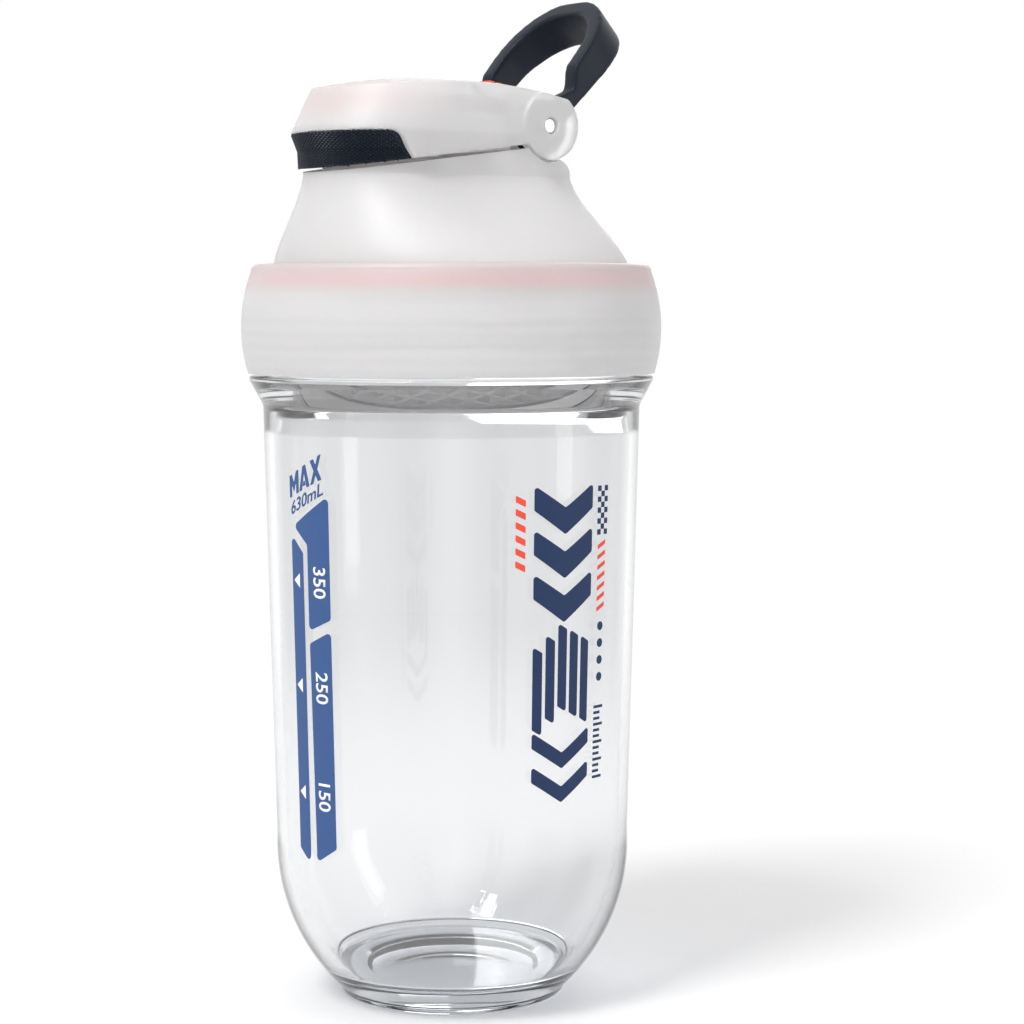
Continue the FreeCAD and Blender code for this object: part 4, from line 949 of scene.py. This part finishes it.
bars = bmesh.new()
patch(bars, [(-6.0, 36.2), (-1.9, 33.4), (-1.9, 99.6), (-6.0, 103.4)], 0.8)
patch(bars, [(-0.4, 83.2), (6.2, 83.2 + 6.2 * 0.45), (6.2, 112.0), (-4.9, 105.2), (-0.4, 101.4)], 0.9)
patch(bars, [(0.3, 33.8), (6.4, 37.4), (6.2, 83.6), (-0.3, 80.6)], 0.9)
LETTER_M = ((0, 0), (0, 1), (0.26, 1), (0.5, 0.56), (0.74, 1), (1, 1), (1, 0), (0.74, 0), (0.74, 0.56),
            (0.5, 0.14), (0.26, 0.56), (0.26, 0))
LETTER_A = ((0, 0), (0.36, 1), (0.64, 1), (1, 0), (0.73, 0), (0.5, 0.70), (0.27, 0))
LETTER_X = ((0, 0), (0.34, 0.5), (0, 1), (0.3, 1), (0.5, 0.70), (0.7, 1), (1, 1), (0.66, 0.5), (1, 0),
            (0.7, 0), (0.5, 0.3), (0.3, 0))
CROSSBAR = ((0.36, 0.14), (0.44, 0.34), (0.56, 0.34), (0.64, 0.14))
for number, glyph in ((0, LETTER_M), (1, LETTER_A), (2, LETTER_X), (1, CROSSBAR)):
    across = number * LETTER_STEP
    tall = LETTER_TALL + number * LETTER_GROWTH
    patch(bars, [(WORD_LEFT + across + LETTER_WIDE * u,
                  WORD_LOW + WORD_CLIMB * (across + LETTER_WIDE * u) + (tall + LETTER_GROWTH * u) * v)
                 for u, v in glyph], LETTER_ROUND)
lettered(bars, "630mL", (-0.5, 111.0), 4.0, weight=0.06, lean=0.10, climb=0.46, stretch=0.98)
printed("volume_scale", bars, SCALE_CENTRE, 0, SCALE_INK)
figures = bmesh.new()
for amount, z in MARKS.items():
    lettered(figures, str(amount), (3.0, z), 5.0, weight=0.06, turn=-math.pi / 2, stretch=0.92)
    patch(figures, [(ARROW_LEFT, z), (ARROW_RIGHT, z - ARROW_HALF), (ARROW_RIGHT, z + ARROW_HALF)])
printed("scale_figures", figures, SCALE_CENTRE, 1.4, WHITE_INK)

# %% [markdown]
# ### The graphic
# The other side of the cup carries a sporty emblem. It is a design of its own: arrows that point
# down and staggered bars, with coral dashes, a check strip, a row of dots and a ladder of ticks.

# %% Print the graphic
GRAPHIC_CENTRE = 1.0
NAVY_INK = ink("navy_ink", (0.017, 0.036, 0.102))
CORAL_INK = ink("coral_ink", (0.80, 0.085, 0.055))
GRAPHIC_LEFT, GRAPHIC_MIDDLE, GRAPHIC_RIGHT = -8.6, -1.0, 6.6
ARROW_NOTCH = 4.8
ARROWS_TOP, ARROWS_STEP = 114.5, 9.2
BARS_TOP, BAR_STEP, BAR_WIDE, BAR_TALL, BAR_SLANT = 85.6, 3.1, 2.3, 17.5, 1.4
BAR_SAG, BAR_CLIMB = 1.9, 0.4
LOW_ARROWS_TOP, LOW_ARROWS_STEP = 63.0, 7.2


def arrow(flat, top, deep, tip, radius):
    """Add one arrow as wide as the graphic, whose tip lies below its top."""
    patch(flat, [(GRAPHIC_LEFT, top), (GRAPHIC_MIDDLE, top - ARROW_NOTCH), (GRAPHIC_RIGHT, top),
                 (GRAPHIC_RIGHT, top - deep), (GRAPHIC_MIDDLE, top - tip), (GRAPHIC_LEFT, top - deep)],
          radius)


emblem = bmesh.new()
for step in range(3):
    arrow(emblem, ARROWS_TOP - step * ARROWS_STEP, 5.2, 10.4, 0.6)
for step in range(5):
    top = BARS_TOP - abs(step - 2) * BAR_SAG - (2 - step) * BAR_CLIMB
    left = GRAPHIC_LEFT + step * BAR_STEP
    slash(emblem, left, left + BAR_WIDE, top, -BAR_SLANT, BAR_TALL, 0.5)
for step in range(2):
    arrow(emblem, LOW_ARROWS_TOP - step * LOW_ARROWS_STEP, 3.4, 8.2, 0.5)
printed("emblem", emblem, GRAPHIC_CENTRE, 0, NAVY_INK)

SIDE_TOP = 112.6
CHECK, CHECK_LEFT = 1.15, 8.3
DOT_X, DOTS_TOP, DOT_STEP, DOT_R = 10.0, 84.0, 3.6, 0.95
TICK_LEFT, TICKS_TOP, TICK_STEP, TICK_TALL = 8.4, 66.5, 1.25, 0.6
LONG_TICK, SHORT_TICK = 3.2, 2.2

side = bmesh.new()
for row in range(9):
    for column in range(3):
        if (row + column) % 2 == 0:
            oblong(side, CHECK_LEFT + column * CHECK, SIDE_TOP - row * CHECK, CHECK, CHECK)
for number in range(4):
    disc(side, DOT_X, DOTS_TOP - number * DOT_STEP, DOT_R)
for number in range(13):
    wide = LONG_TICK if number % 3 == 0 else SHORT_TICK
    oblong(side, TICK_LEFT, TICKS_TOP - number * TICK_STEP, wide, TICK_TALL)
printed("side_marks", side, GRAPHIC_CENTRE, 0, NAVY_INK)

dashes = bmesh.new()
for number in range(6):
    slash(dashes, -12.7, -10.5, SIDE_TOP - number * 2.7, -1.1, 1.4, 0.15)
for number in range(7):
    slash(dashes, 8.6, 11.2, 101.2 - number * 2.2, 1.1, 0.9, 0.1)
printed("coral_dashes", dashes, GRAPHIC_CENTRE, 0, CORAL_INK)
